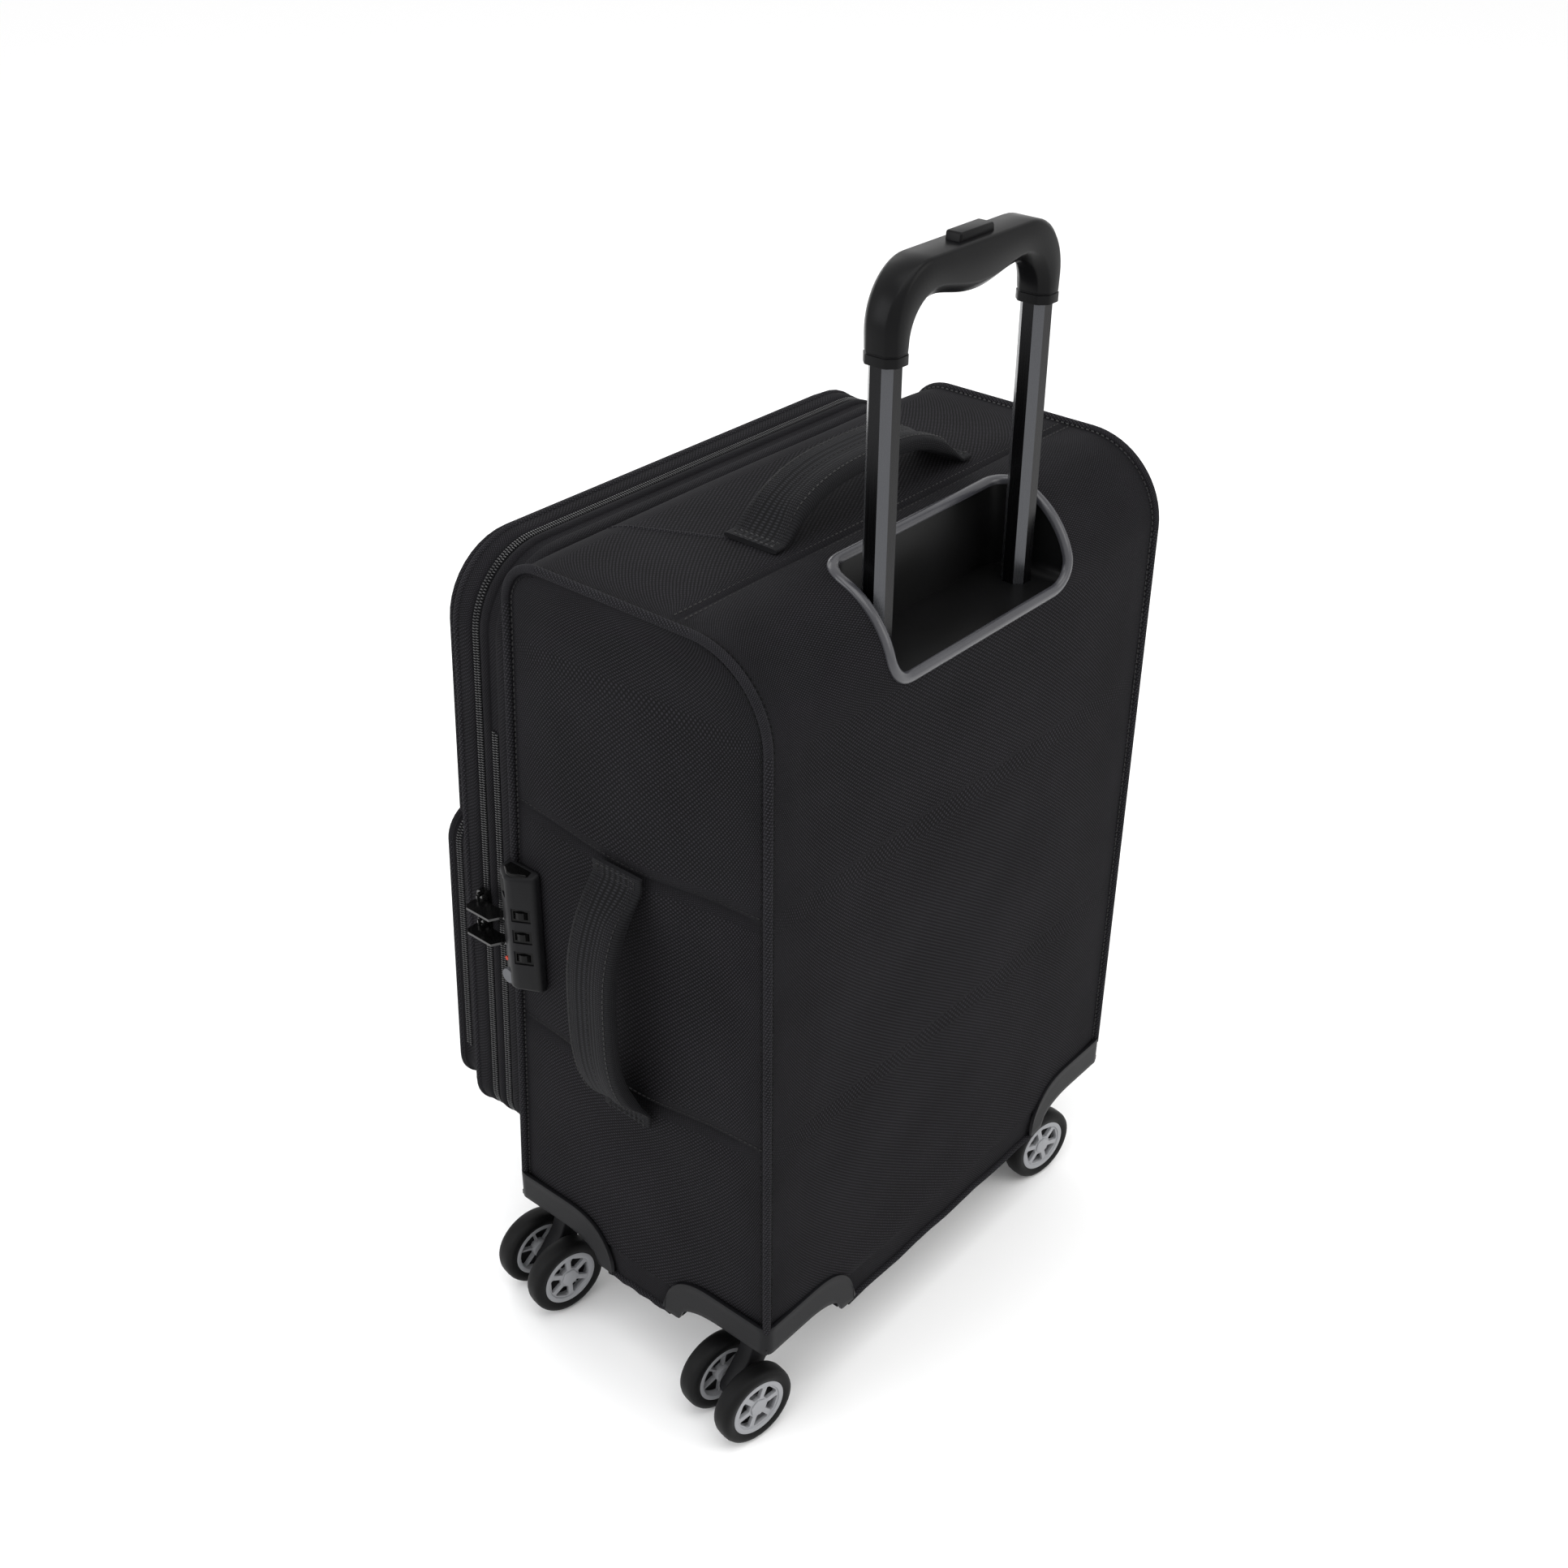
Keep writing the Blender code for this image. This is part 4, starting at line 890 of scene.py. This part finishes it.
guard_top, guard_low, tip_z = 0.098, 0.077, 0.0600
bend, wall_reach, wall_thick = 0.006, 0.0732, 0.002
corners_of_case = (("back_right", 1, 1), ("back_left", -1, 1), ("front_left", -1, -1), ("front_right", 1, -1))
spans = [0.0015 * step for step in range(9)] + [0.018, 0.026, 0.034]
spans += [0.041 + 0.041 * math.sin(math.pi / 2 * step / 16) for step in range(17)]
spans = [-span for span in reversed(spans[1:])] + spans


def guard_edges(span):
    """The lower and upper edge of a guard's arm at a distance from its corner."""
    share = max(0.0, (abs(span) - 0.041) / 0.041)
    high = tip_z + 0.002 + (guard_top - tip_z - 0.002) * math.sqrt(max(0.0, 1 - share ** 2.7))
    share = max(0.0, min(1.0, (abs(span) - 0.036) / 0.034))
    low = tip_z + (guard_low - tip_z) * max(0.0, 1 - share ** 2.2) ** (1 / 2.2)
    return low, max(high, low + 0.0002)


def caster_place(sx, sy, z):
    """A place on the line that a caster swivels about."""
    return at(sx * 0.154, -0.024 if sy > 0 else front_y(well_top - 0.0003) + 0.020, z)


for name, sx, sy in corners_of_case:
    node_name = f"{name}_guard"
    low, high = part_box(node_name)
    corner = Vector((high[0] if sx > 0 else low[0], high[1] if sy > 0 else low[1], 0))

    def on_guard(u, v, corner=corner, sx=sx, sy=sy):
        span = spans[round(u * (len(spans) - 1))]
        low, high = guard_edges(span)
        z = low + (high - low) * v
        quarter = bend * math.pi / 4
        if abs(span) < quarter:
            angle = math.pi / 4 - span / bend
            x = -bend + bend * math.cos(angle)
            y = -bend + bend * math.sin(angle)
        elif span > 0:
            x, y = 0, -bend - (span - quarter)
        else:
            x, y = -bend - (-span - quarter), 0
        if v > 0.9:
            x += 0.0003 if span > quarter else 0
            y += 0.0003 if span < -quarter else 0
        return Vector((corner.x + sx * x, corner.y + sy * y, z))

    skin = sheet_of_cloth(node_name + "_skin", len(spans) - 1, 6, on_guard, 0.16, 0.03, (sx, sy, 0))
    applied(skin, "SOLIDIFY", thickness=0.0021, offset=-1)
    bevelled(skin, 0.0006, 2, 50)

    def flat(u, v, height, corner=corner, sx=sx, sy=sy):
        return Vector((corner.x - sx * (0.0014 + u), corner.y - sy * (0.0014 + v), height))

    near, reach = wall_reach - wall_thick, wall_reach
    plate = board("well_ceiling", oblong(0, reach, 0, reach), 0.0770, 0.0805, flat)
    wall = [(reach, 0.003), (reach, reach), (0.003, reach), (0.003, near), (near, near), (near, 0.003)]
    walls = board("well_walls", wall, cloth_low, 0.0788, flat)
    boss = bevelled(rod(40, 0.0125, 0.0026, caster_place(sx, sy, 0.0760)), 0.0008, 2)
    guard = joined(node_name + "_moulding", skin, plate, walls, boss)
    finished(guard, guard_abs, "case", "guard_plastic", node_name, angle=40)

dressed(lining, "base_panel")


# ---------------------------------------------------------------- casters
# Twin polyurethane tyres on spoked nylon hubs, one pair on each side of a moulded fork that swivels
# on a steel stem. The hub's face has six windows round a flat centre cap.

# Tyres: matt cast polyurethane. Hubs: grey nylon, with the web behind the face painted black as the shade
# seen through its windows. Forks: black nylon.
polyurethane = moulded_plastic("cast_polyurethane_tyre", "#0d0d0d", "#121213", rough=0.5, grain=0.0006)
hub_nylon = moulded_plastic("moulded_grey_nylon_hub", "#8b8c8f", "#97989b", rough=0.36, depth=0.00004)
hub_shadow = moulded_plastic("moulded_nylon_web_painted_shade", "#101011", "#161617", rough=0.5)
fork_nylon = moulded_plastic("moulded_black_nylon_fork", "#141415", "#1b1b1d", rough=0.4)

# Drawn steel wire: bright, with fine marks along its length.
steel, tree, out = blank("drawn_steel")
coords = node(tree, "ShaderNodeTexCoord").outputs["Object"]
drawn = node(tree, "ShaderNodeMapping", {"Scale": (900, 900, 30)}, {"Vector": coords})
lines = node(tree, "ShaderNodeTexNoise", {"Scale": 1.0, "Detail": 2.0}, {"Vector": drawn.outputs["Vector"]})
gloss = node(tree, "ShaderNodeMapRange", {"To Min": 0.22, "To Max": 0.42}, {"Value": lines.outputs["Fac"]})
shaded(
    tree, out, {"Base Color": linear("#a9a9ab"), "Metallic": 1.0}, {"Roughness": gloss.outputs["Result"]}
)

turned_by = math.radians(-10)


def ringed(name, section):
    """A section of (along the axle, radius) points turned about the axle, +Y."""
    middle = sum(radius for _, radius in section) / len(section)
    ways = [Vector((across, 0, up)) for across, up in polygon(1, 64)]
    path = [(way * middle, way) for way in ways]
    return swept(name, path, [(along, radius - middle) for along, radius in section], closed=True)


def from_above(u, v, height):
    """Boards of the hub are drawn on the wheel's face and stand out along the axle."""
    return Vector((u, height, v))


# Both sides of the tyre are alike, so one side is drawn and the other mirrored.
tread = [
    (0.0060, 0.0190), (0.0066, 0.0205), (0.0070, 0.0222), (0.0067, 0.0240), (0.0057, 0.0256),
    (0.0038, 0.0264), (0.0015, 0.0266),
]
tyre_shape = ringed("tyre_shape", tread + [(-along, radius) for along, radius in reversed(tread)])
rim_shape = ringed("rim_shape", [
    (0.0050, 0.0152), (0.0062, 0.0160), (0.0065, 0.0176), (0.0061, 0.0190), (-0.0061, 0.0190),
    (-0.0065, 0.0176), (-0.0062, 0.0162), (-0.0052, 0.0156), (0.0030, 0.0152),
])
face_plate = board("face_plate", polygon(0.0160, 48), 0.0030, 0.0054, from_above)
first_spoke = 12
window_shape = ((0.0072, 17), (0.0143, 23), (0.0150, 17), (0.0150, -17), (0.0143, -23), (0.0072, -17))
for window in range(6):
    corners = []
    for radius, degrees in window_shape:
        angle = math.radians(60 * window + first_spoke + degrees)
        corners.append((radius * math.cos(angle), radius * math.sin(angle)))
    cut(face_plate, board("window", corners, 0.0, 0.0080, from_above))
bevelled(face_plate, 0.0004, 2, 40)
cap = board("centre_cap", polygon(0.0064, 6, first_spoke), 0.0050, 0.0064, from_above)
bevelled(cap, 0.0007, 3, 20)
barrel = board("barrel", polygon(0.0058, 32), -0.0066, 0.0035, from_above)
bevelled(barrel, 0.0006, 2, 40)
ribs = []
for rib in range(6):
    angle = math.radians(60 * rib + first_spoke)
    way = Vector((math.cos(angle), math.sin(angle)))
    across = Vector((-way.y, way.x)) * 0.0007
    corners = [way * 0.0050 + across, way * 0.0050 - across, way * 0.0156 - across, way * 0.0156 + across]
    ribs.append(board("rib", [tuple(corner) for corner in corners], -0.0040, 0.0005, from_above))
grey_hub = joined("grey_hub", face_plate, rim_shape, cap, barrel, *ribs)
# Painted shade: the web is coloured black so that the windows of the grey hub look dark inside.
web = board("dark_web", polygon(0.0156, 40), -0.0012, 0.0004, from_above)


def copied(name, source, move):
    made = bpy.data.objects.new(name, source.data.copy())
    bpy.context.scene.collection.objects.link(made)
    made.data.transform(move)
    return made


for name, sx, sy in corners_of_case:
    for side, flip in (("outer", 0.0), ("inner", math.pi)):
        low, high = (Vector(corner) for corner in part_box(f"{name}_{side}_tyre"))
        move = Matrix.Translation((low + high) / 2) @ Matrix.Rotation(turned_by + flip, 4, "Z")
        wheel = f"{name}_{side}_wheel"
        spin = move @ Matrix.Rotation(math.radians(23 * len(name) * (1 + flip)), 4, "Y")
        tyre = copied(f"{name}_{side}_cast_tyre", tyre_shape, spin)
        finished(tyre, polyurethane, wheel, "tyre_rubber", f"{name}_{side}_tyre", angle=50)
        hub = copied(f"{name}_{side}_spoked_hub", grey_hub, spin)
        finished(hub, hub_nylon, wheel, "hub_plastic", f"{name}_{side}_hub", angle=35)
        finished(copied(f"{name}_{side}_hub_web", web, spin), hub_shadow, wheel, "hub_plastic")

    def on_fork(u, v, height, sx=sx, sy=sy):
        return caster_place(sx, sy, v) + Matrix.Rotation(turned_by, 3, "Z") @ Vector((u, height, 0))

    leg = [(-0.0075, 0.0665), (-0.0085, 0.0600)]
    for step in range(12):
        angle = math.radians(-150 + 210 * step / 11)
        leg.append((0.022 + 0.0085 * math.cos(angle), 0.0266 + 0.0085 * math.sin(angle)))
    leg += [(0.0160, 0.0480), (0.0120, 0.0590), (0.0095, 0.0665)]
    prong = board("prong", leg, -0.0062, 0.0062, on_fork)
    bevelled(prong, 0.0016, 3, 50)
    disc = bevelled(rod(40, 0.0105, 0.0060, caster_place(sx, sy, 0.0662)), 0.0014, 3)
    stem = rod(24, 0.0040, 0.0190, caster_place(sx, sy, 0.0780))
    fork = joined(f"{name}_swivel_fork", prong, disc, stem)
    finished(fork, fork_nylon, f"{name}_caster", "guard_plastic", f"{name}_fork", angle=40)
    dressed(steel, f"{name}_axle")
for used in (tyre_shape, grey_hub, web):
    bpy.data.objects.remove(used, do_unlink=True)


# ---------------------------------------------------------------- telescopic handle
# Extruded aluminium tubes, octagonal, anodised black. The grip is moulded ABS with a satin skin: a
# faceted leg over each tube turns into a bellied bar with a release button on top.

# Black anodising: hard, satin, with faint streaks along the extrusion, and a painted highlight: the chamfers
# are coloured paler.
anodised, tree, out = blank("black_anodised_aluminium")
coords = node(tree, "ShaderNodeTexCoord").outputs["Object"]
streaks = node(tree, "ShaderNodeMapping", {"Scale": (1100, 1100, 9)}, {"Vector": coords})
lines = node(tree, "ShaderNodeTexNoise", {"Scale": 1.0, "Detail": 3.0}, {"Vector": streaks.outputs["Vector"]})
gloss = node(tree, "ShaderNodeMapRange", {"To Min": 0.20, "To Max": 0.34}, {"Value": lines.outputs["Fac"]})
facing = node(tree, "ShaderNodeSeparateXYZ", links={0: node(tree, "ShaderNodeTexCoord").outputs["Normal"]})
# Painted highlight: faces whose normals slant between X and Y, the chamfers, get a paler colour in place of a
# reflection.
slanted = worked_out(tree, "MULTIPLY", facing.outputs["X"], facing.outputs["Y"])
chamfer_highlight = worked_out(tree, "GREATER_THAN", worked_out(tree, "ABSOLUTE", slanted), 0.25)
# The mix node's colour inputs are sockets 6 and 7, and its colour output is number 2.
colour = node(
    tree, "ShaderNodeMix", {7: linear("#4c4d50")},
    {0: chamfer_highlight, 6: ramp(tree, lines.outputs["Fac"], "#0b0b0c", "#131315")}, data_type="RGBA",
)
shaded(
    tree, out, {"Metallic": 0.75},
    {"Base Color": colour.outputs[2], "Roughness": gloss.outputs["Result"]},
)
dressed(anodised, "inner_tube_left", "inner_tube_right", "outer_tube_left", "outer_tube_right")
dressed(steel, "push_rod_left", "push_rod_right")
dressed(fork_nylon, "handle_foot")

# Grip: satin ABS from a finely grained mould.
grip_abs = moulded_plastic("satin_moulded_abs_grip", "#0a0a0b", "#0e0e0f", rough=0.3, grain=0.0006)

# Each row of the grip is its outer point, its inner point, how far its collar swells, and how far it
# has turned from leg to bar.
tube_y = -0.0238
grip_rows = []
for z, collar in ((0.6520, 1), (0.6522, 1), (0.6568, 1), (0.6571, -1), (0.6576, -1), (0.6579, 0)):
    grip_rows.append(((0.07375, z), (0.05625, z), collar, 0.0))
for step in range(15):
    angle = math.pi / 2 * step / 14
    outer = (0.04175 + 0.032 * math.cos(angle), 0.668 + 0.032 * math.sin(angle))
    inner = (0.03625 + 0.020 * math.cos(angle), 0.6595 + 0.0195 * math.sin(angle))
    grip_rows.append((outer, inner, 0, step / 14))
for step in range(1, 13):
    share = step / 12
    belly = 0.0055 * (1 - (1 - share) ** 2) ** 2
    grip_rows.append(((0.04175 * (1 - share), 0.7000), (0.03625 * (1 - share), 0.6790 - belly), 0, 1.0))
for (outer_x, outer_z), (inner_x, inner_z), collar, turn in reversed(grip_rows[:-1]):
    grip_rows.append(((-outer_x, outer_z), (-inner_x, inner_z), collar, turn))


def grip_corners(half, deep, outer_cut, inner_cut):
    """Eight corners, each drawn as two close points so that its crease is soft."""
    front_half = [
        (deep - outer_cut, half), (deep, half - outer_cut),
        (deep, -half + inner_cut), (deep - inner_cut, -half),
    ]
    back_half = [(-across, out) for across, out in reversed(front_half)]
    corners = back_half[-1:] + front_half + back_half[:-1]
    soft = []
    for index, corner in enumerate(corners):
        here = Vector(corner)
        for other in (Vector(corners[index - 1]), Vector(corners[(index + 1) % 8])):
            gap = other - here
            soft.append(tuple(here + gap.normalized() * min(0.0008, gap.length * 0.4)))
    return soft


grip_path, grip_sections = [], []
for outer, inner, collar, turn in grip_rows:
    outer_point, inner_point = at(outer[0], tube_y, outer[1]), at(inner[0], tube_y, inner[1])
    half = (outer_point - inner_point).length / 2 + 0.00025 * collar
    grip_path.append(((outer_point + inner_point) / 2, (outer_point - inner_point).normalized()))
    smooth = turn * turn * (3 - 2 * turn)
    grip_sections.append(grip_corners(
        half, 0.0105 + 0.00025 * collar, 0.0046 - 0.0030 * smooth, 0.0046 + 0.0014 * smooth
    ))
grip = swept("moulded_grip", grip_path, grip_sections)
finished(grip, grip_abs, "telescopic_handle", "grip_plastic", "grip", angle=38)

bpy.ops.object.select_all(action="DESELECT")
bpy.ops.mesh.primitive_cube_add(size=1, location=at(0, tube_y, 0.7000), scale=(0.030, 0.010, 0.0088))
button = bpy.context.object
button.name = button.data.name = "release_button"
bpy.ops.object.transform_apply(location=True, rotation=True, scale=True)
for vertex in button.data.vertices:
    if vertex.co.z > 0.70:
        vertex.co.x += 0.0012 if vertex.co.x < middle_x else -0.0012
bevelled(button, 0.0012, 4)
finished(button, grip_abs, "handle_button", "grip_plastic", "push_button", angle=40)


# ---------------------------------------------------------------- handle cup
# One ABS moulding let into the top back corner: a rounded lip clamps the cloth, and the tubes pass
# through its floor.

# Cup: black ABS. Its lip is the same plastic with a smoother satin face, coloured paler as a painted
# highlight along the rim.
cup_abs = moulded_plastic("moulded_abs_handle_cup", "#090909", "#0d0d0e", rough=0.34, specular=0.16)
cup = cup_block("moulded_handle_cup", 0.005, 0.4852, 0.60, 0.021)
stands_out = 0.0016
radius = back_radius + stands_out
profile = [(stands_out, cup_floor - 0.012), (stands_out, bend_low)]
for step in range(1, 25):
    angle = math.pi / 2 * step / 24
    profile.append((-back_radius + radius * math.cos(angle), bend_low + radius * math.sin(angle)))
profile += [(-0.080, case_top + stands_out), (-0.080, cup_floor - 0.012)]
cut(cup, board("outside", profile, -0.2, 0.2, lambda u, v, h: at(h, u, v)), "INTERSECT")
cut(cup, cup_block("cavity", 0.0, cup_floor, 0.61, 0.008))
for x in (-0.065, 0.065):
    hole = []
    for a, b in ((1, 0.46), (0.46, 1), (-0.46, 1), (-1, 0.46)):
        hole.append((0.00815 * a, 0.00815 * b))
    hole = [(x + sign * a, tube_y + sign * b) for sign in (1, -1) for a, b in hole]
    cut(cup, board("tube_hole", hole, 0.47, 0.505, lambda u, v, h: at(u, v, h)))
finished(cup, cup_abs, "case", "cup_plastic", "handle_cup", angle=35)


def cup_lip_place(x, along):
    """A place on the skin of the top back bend, and the way out of it."""
    turn_by = max(0.0, along) / back_radius
    out_way = Vector((0, math.cos(turn_by), math.sin(turn_by)))
    place = at(x, -back_radius, bend_low + min(0.0, along))
    return place + out_way * (back_radius + 0.0008), out_way


lip_half, lip_low, lip_high, lip_turn = 0.0822, -0.0012, 0.0772, 0.0165
lip_path = []
for centre_x, centre_s, start in (
    (lip_half - lip_turn, lip_high - lip_turn, 0), (-lip_half + lip_turn, lip_high - lip_turn, 90),
    (-lip_half + lip_turn, lip_low + lip_turn, 180), (lip_half - lip_turn, lip_low + lip_turn, 270),
):
    for step in range(11):
        angle = math.radians(start + 9 * step)
        lip_path.append((centre_x + lip_turn * math.cos(angle), centre_s + lip_turn * math.sin(angle)))
    end_x, end_s = lip_path[-1]
    run_x, run_s = {0: (-1, 0), 90: (0, -1), 180: (1, 0), 270: (0, 1)}[start]
    length = 2 * (lip_half - lip_turn) if run_x else lip_high - lip_low - 2 * lip_turn
    for step in range(1, 12):
        lip_path.append((end_x + run_x * length * step / 12, end_s + run_s * length * step / 12))
lip_section = [(-0.0030, -0.0012), (-0.0033, 0.0008), (-0.0024, 0.0022), (-0.0008, 0.0028), (0.0008, 0.0028),
               (0.0024, 0.0022), (0.0033, 0.0008), (0.0030, -0.0012)]
lip = swept("handle_cup_lip", [cup_lip_place(*place) for place in lip_path], lip_section, closed=True)
# Painted highlight: the lip is given a paler colour than the cup, though both are one moulding.
lip_highlight_abs = moulded_plastic(
    "satin_moulded_abs_lip_painted_highlight", "#303034", "#3c3c40", rough=0.26, depth=0.00003, specular=0.5
)
finished(lip, lip_highlight_abs, "case", "cup_plastic", angle=50)


# ---------------------------------------------------------------- carry handles
# Padded straps: ribbed webbing sewn flat at both ends and rolled over a foam core between, with the
# roll closed by a line of stitches along its top.

# Ribbed webbing: thick weft ribs across the strap. The real ribs are 1.3 mm apart, drawn 1.4 mm apart.
webbing, tree, out = blank("ribbed_polyester_webbing")
coords = node(tree, "ShaderNodeTexCoord").outputs["UV"]
ribs, warp = (
    node(
        tree, "ShaderNodeTexWave", {"Scale": wave_scale / gap, "Distortion": waver}, {"Vector": coords},
        bands_direction=way,
    )
    for gap, waver, way in ((0.0014, 0.3, "Y"), (0.0011, 0.8, "X"))
)
woven = worked_out(tree, "MULTIPLY", ribs.outputs["Fac"], warp.outputs["Fac"])
relief = node(tree, "ShaderNodeBump", {"Strength": 0.6, "Distance": 0.0006}, {"Height": woven})
shaded(
    tree, out,
    {"Roughness": 0.78, "Specular IOR Level": 0.1, "Sheen Weight": 0.03, "Sheen Tint": linear("#9a9aa0")},
    {"Base Color": ramp(tree, woven, "#0c0c0d", "#2a2a2d"), "Normal": relief.outputs["Normal"]},
)

strap_steps = [-0.0870 + 0.174 * step / 72 for step in range(73)]


def strap_height(u):
    share = min(1.0, abs(u) / 0.0790)
    return 0.0022 + 0.0245 * (1 - share ** 3.0) ** 1.05


def strap_section(u):
    """The strap's section: flat webbing at the ends, a rolled and pinched grip between."""
    share = max(0.0, min(1.0, (0.0760 - abs(u)) / 0.018))
    roll = share * share * (3 - 2 * share)
    half, thick = 0.0182 - 0.0012 * roll, 0.0015 + 0.0037 * roll
    power = 5.0 - 1.2 * roll
    points = []
    for step in range(28):
        angle = 2 * math.pi * step / 28
        c, s = math.cos(angle), math.sin(angle)
        across = half * math.copysign(abs(c) ** (2 / power), c)
        out = thick * math.copysign(abs(s) ** (2 / power), s)
        if s > 0:
            out -= 0.0016 * roll * math.exp(-(across / 0.0016) ** 2)
        points.append((across, out))
    return points


def carry_handle(name, node_name, foot, along, out):
    """One strap from its middle's foot, the way it runs and the way out of the case."""
    across = along.cross(out)
    path = []
    for u in strap_steps:
        slope = (strap_height(u + 0.001) - strap_height(u - 0.001)) / 0.002
        path.append((foot + along * u + out * strap_height(u), (out - along * slope).normalized()))
    strap = swept(name, path, [strap_section(u) for u in strap_steps])
    finished(strap, webbing, "case", "webbing", node_name, angle=60)
    for row, offset, reach in (("left", -0.0135, 1), ("right", 0.0135, 1), ("middle", 0.0, 0.055)):
        line = []
        for (point, normal), u in zip(path, strap_steps):
            if abs(u) <= reach:
                thick = max(lift for side, lift in strap_section(u) if abs(side - offset) < 0.004)
                line.append((point + across * offset + normal * (thick + 0.0001), normal))
        sewn(f"{name}_stitching_{row}", line)
    for end_name, end in (("a", -1), ("b", 1)):
        for reach_name, reach in ((850, 0.0850), (800, 0.0800)):
            centre = foot + along * (end * reach) + out * (strap_height(reach) + 0.0016)
            line = [(centre + across * (0.0135 * share), out) for share in (-1, -0.5, 0, 0.5, 1)]
            sewn(f"{name}_box_{end_name}_{reach_name}", line)


up, right = Vector((0, 0, 1)), Vector((1, 0, 0))
carry_handle("top_handle_strap", "top_carry_handle", at(0, -0.092, 0.5412), right, up)
carry_handle("side_handle_strap", "side_carry_handle", at(0.1805, side_handle_y, 0.294), up, right)


# ---------------------------------------------------------------- combination lock
# A ridged ABS case fixed beside the zip. Its front slope has the release and two slots for the zip
# pulls; its back slope has a dark recess with three number wheels and a guard bar.

# Lock: grained ABS for the case; polished acetal for the dials, their windows and the cap.
lock_abs = moulded_plastic("moulded_abs_lock", "#121213", "#18181a", rough=0.4, grain=0.0006)
gloss_abs = moulded_plastic("polished_black_acetal", "#070707", "#0c0c0c", rough=0.12, depth=0.00001)
lock_low = Vector(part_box("lock_body")[0])


def on_lock(u, v, height):
    """Lock places: out from the case, back from its front edge, up from its foot."""
    return Vector((lock_low.x + u, lock_low.y + v, lock_low.z + height))


lock_case = board("lock_case_shape", [
    (0, 0), (0.0078, 0.0), (0.0135, 0.0095), (0.0135, 0.0139), (0.0062, 0.0270), (0, 0.0270)
], 0.0, 0.085, on_lock)
for vertex in lock_case.data.vertices:
    if vertex.co.x > lock_low.x + 0.005:
        vertex.co.z += -0.0030 if vertex.co.z > lock_low.z + 0.042 else 0.0022
bevelled(lock_case, 0.0026, 5, 20)


def back_slope(v, sink):
    """The height of the lock's back slope at a distance from the front edge, less a depth."""
    return 0.0135 - 0.0073 / 0.0131 * max(0.0, v - 0.0139) - sink


release_slot = oblong(0.0055, 0.03, 0.0030, 0.0094)
cut(lock_case, board("release_slot", release_slot, 0.0665, 0.0795, on_lock))
for number in (1, 2):
    low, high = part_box(f"zip_pull_{number}")
    height = (low[2] + high[2]) / 2 - lock_low.z
    slot = oblong(0.0033, 0.0150, -0.004, 0.0034)
    cut(lock_case, board("pull_slot", slot, height - 0.0016, height + 0.0016, on_lock))
for number in (1, 2, 3):
    low, high = (Vector(corner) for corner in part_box(f"dial_{number}"))
    middle = (low + high) / 2 - lock_low
    slot = [(middle.x + out, middle.y + back) for out, back in polygon(0.0058, 24)]
    opening = [
        (back_slope(0.0136, 0.0012), 0.0136), (0.03, 0.0136),
        (0.03, 0.0240), (back_slope(0.0240, 0.0012), 0.0240),
    ]
    cut(lock_case, board("dial_slot", slot, middle.z - 0.0027, middle.z + 0.0027, on_lock))
    cut(lock_case, board("window", opening, middle.z - 0.0047, middle.z + 0.0047, on_lock))
    plate = [
        (back_slope(v, sink), v)
        for v, sink in ((0.0138, 0.0022), (0.0138, 0.0009), (0.0238, 0.0009), (0.0238, 0.0022))
    ]
    window = board(f"dial_window_{number}", plate, middle.z - 0.0045, middle.z + 0.0045, on_lock)
    cut(window, board("dial_slot", slot, middle.z - 0.0027, middle.z + 0.0027, on_lock))
    finished(window, gloss_abs, "case", "dial_plastic")
finished(lock_case, lock_abs, "case", "lock_plastic", "lock_body", angle=30)
lock_case.name = lock_case.data.name = "lock_case"

top_cap = board("lock_top_cap", [
    (0.0020, 0.0040), (0.0076, 0.0040), (0.0116, 0.0100), (0.0116, 0.0140), (0.0072, 0.0220), (0.0020, 0.0220)
], 0.0800, 0.0842, on_lock)
finished(bevelled(top_cap, 0.0010, 3), gloss_abs, "case", "dial_plastic")
indicator = board("lock_indicator", polygon(0.0013, 16), 0.0, 0.0012,
                  lambda u, v, h: on_lock(0.0098 + h, 0.0040 + u, 0.0195 + v))
# Indicator: red acrylic. Key plate: cast zinc with a dark finish.
red_acrylic = moulded_plastic("red_acrylic", "#8f2a18", "#a83420", rough=0.2, depth=0.00001)
finished(indicator, red_acrylic, "case", "dial_plastic")
dressed(gloss_abs, "dial_1", "dial_2", "dial_3", "lock_release")
zinc = moulded_plastic("cast_zinc_key_plate", "#4a4b4e", "#5b5c60", rough=0.35, depth=0.00003)
dressed(zinc, "key_cylinder")


# ---------------------------------------------------------------- zip sliders and pulls
# Cast zinc, finished in glossy black enamel. The pulls' tips sit in the lock.

# Enamel: stoved black, glossy and smooth.
enamel = moulded_plastic(
    "black_enamelled_zinc", "#060606", "#0b0b0b", rough=0.14, depth=0.00001, specular=0.6
)
dressed(enamel, "zip_slider_1", "zip_slider_2", "zip_pull_1", "zip_pull_2")


size = {"cad": [list(corner) for corner in cad_box], "visual": [list(corner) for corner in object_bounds()]}
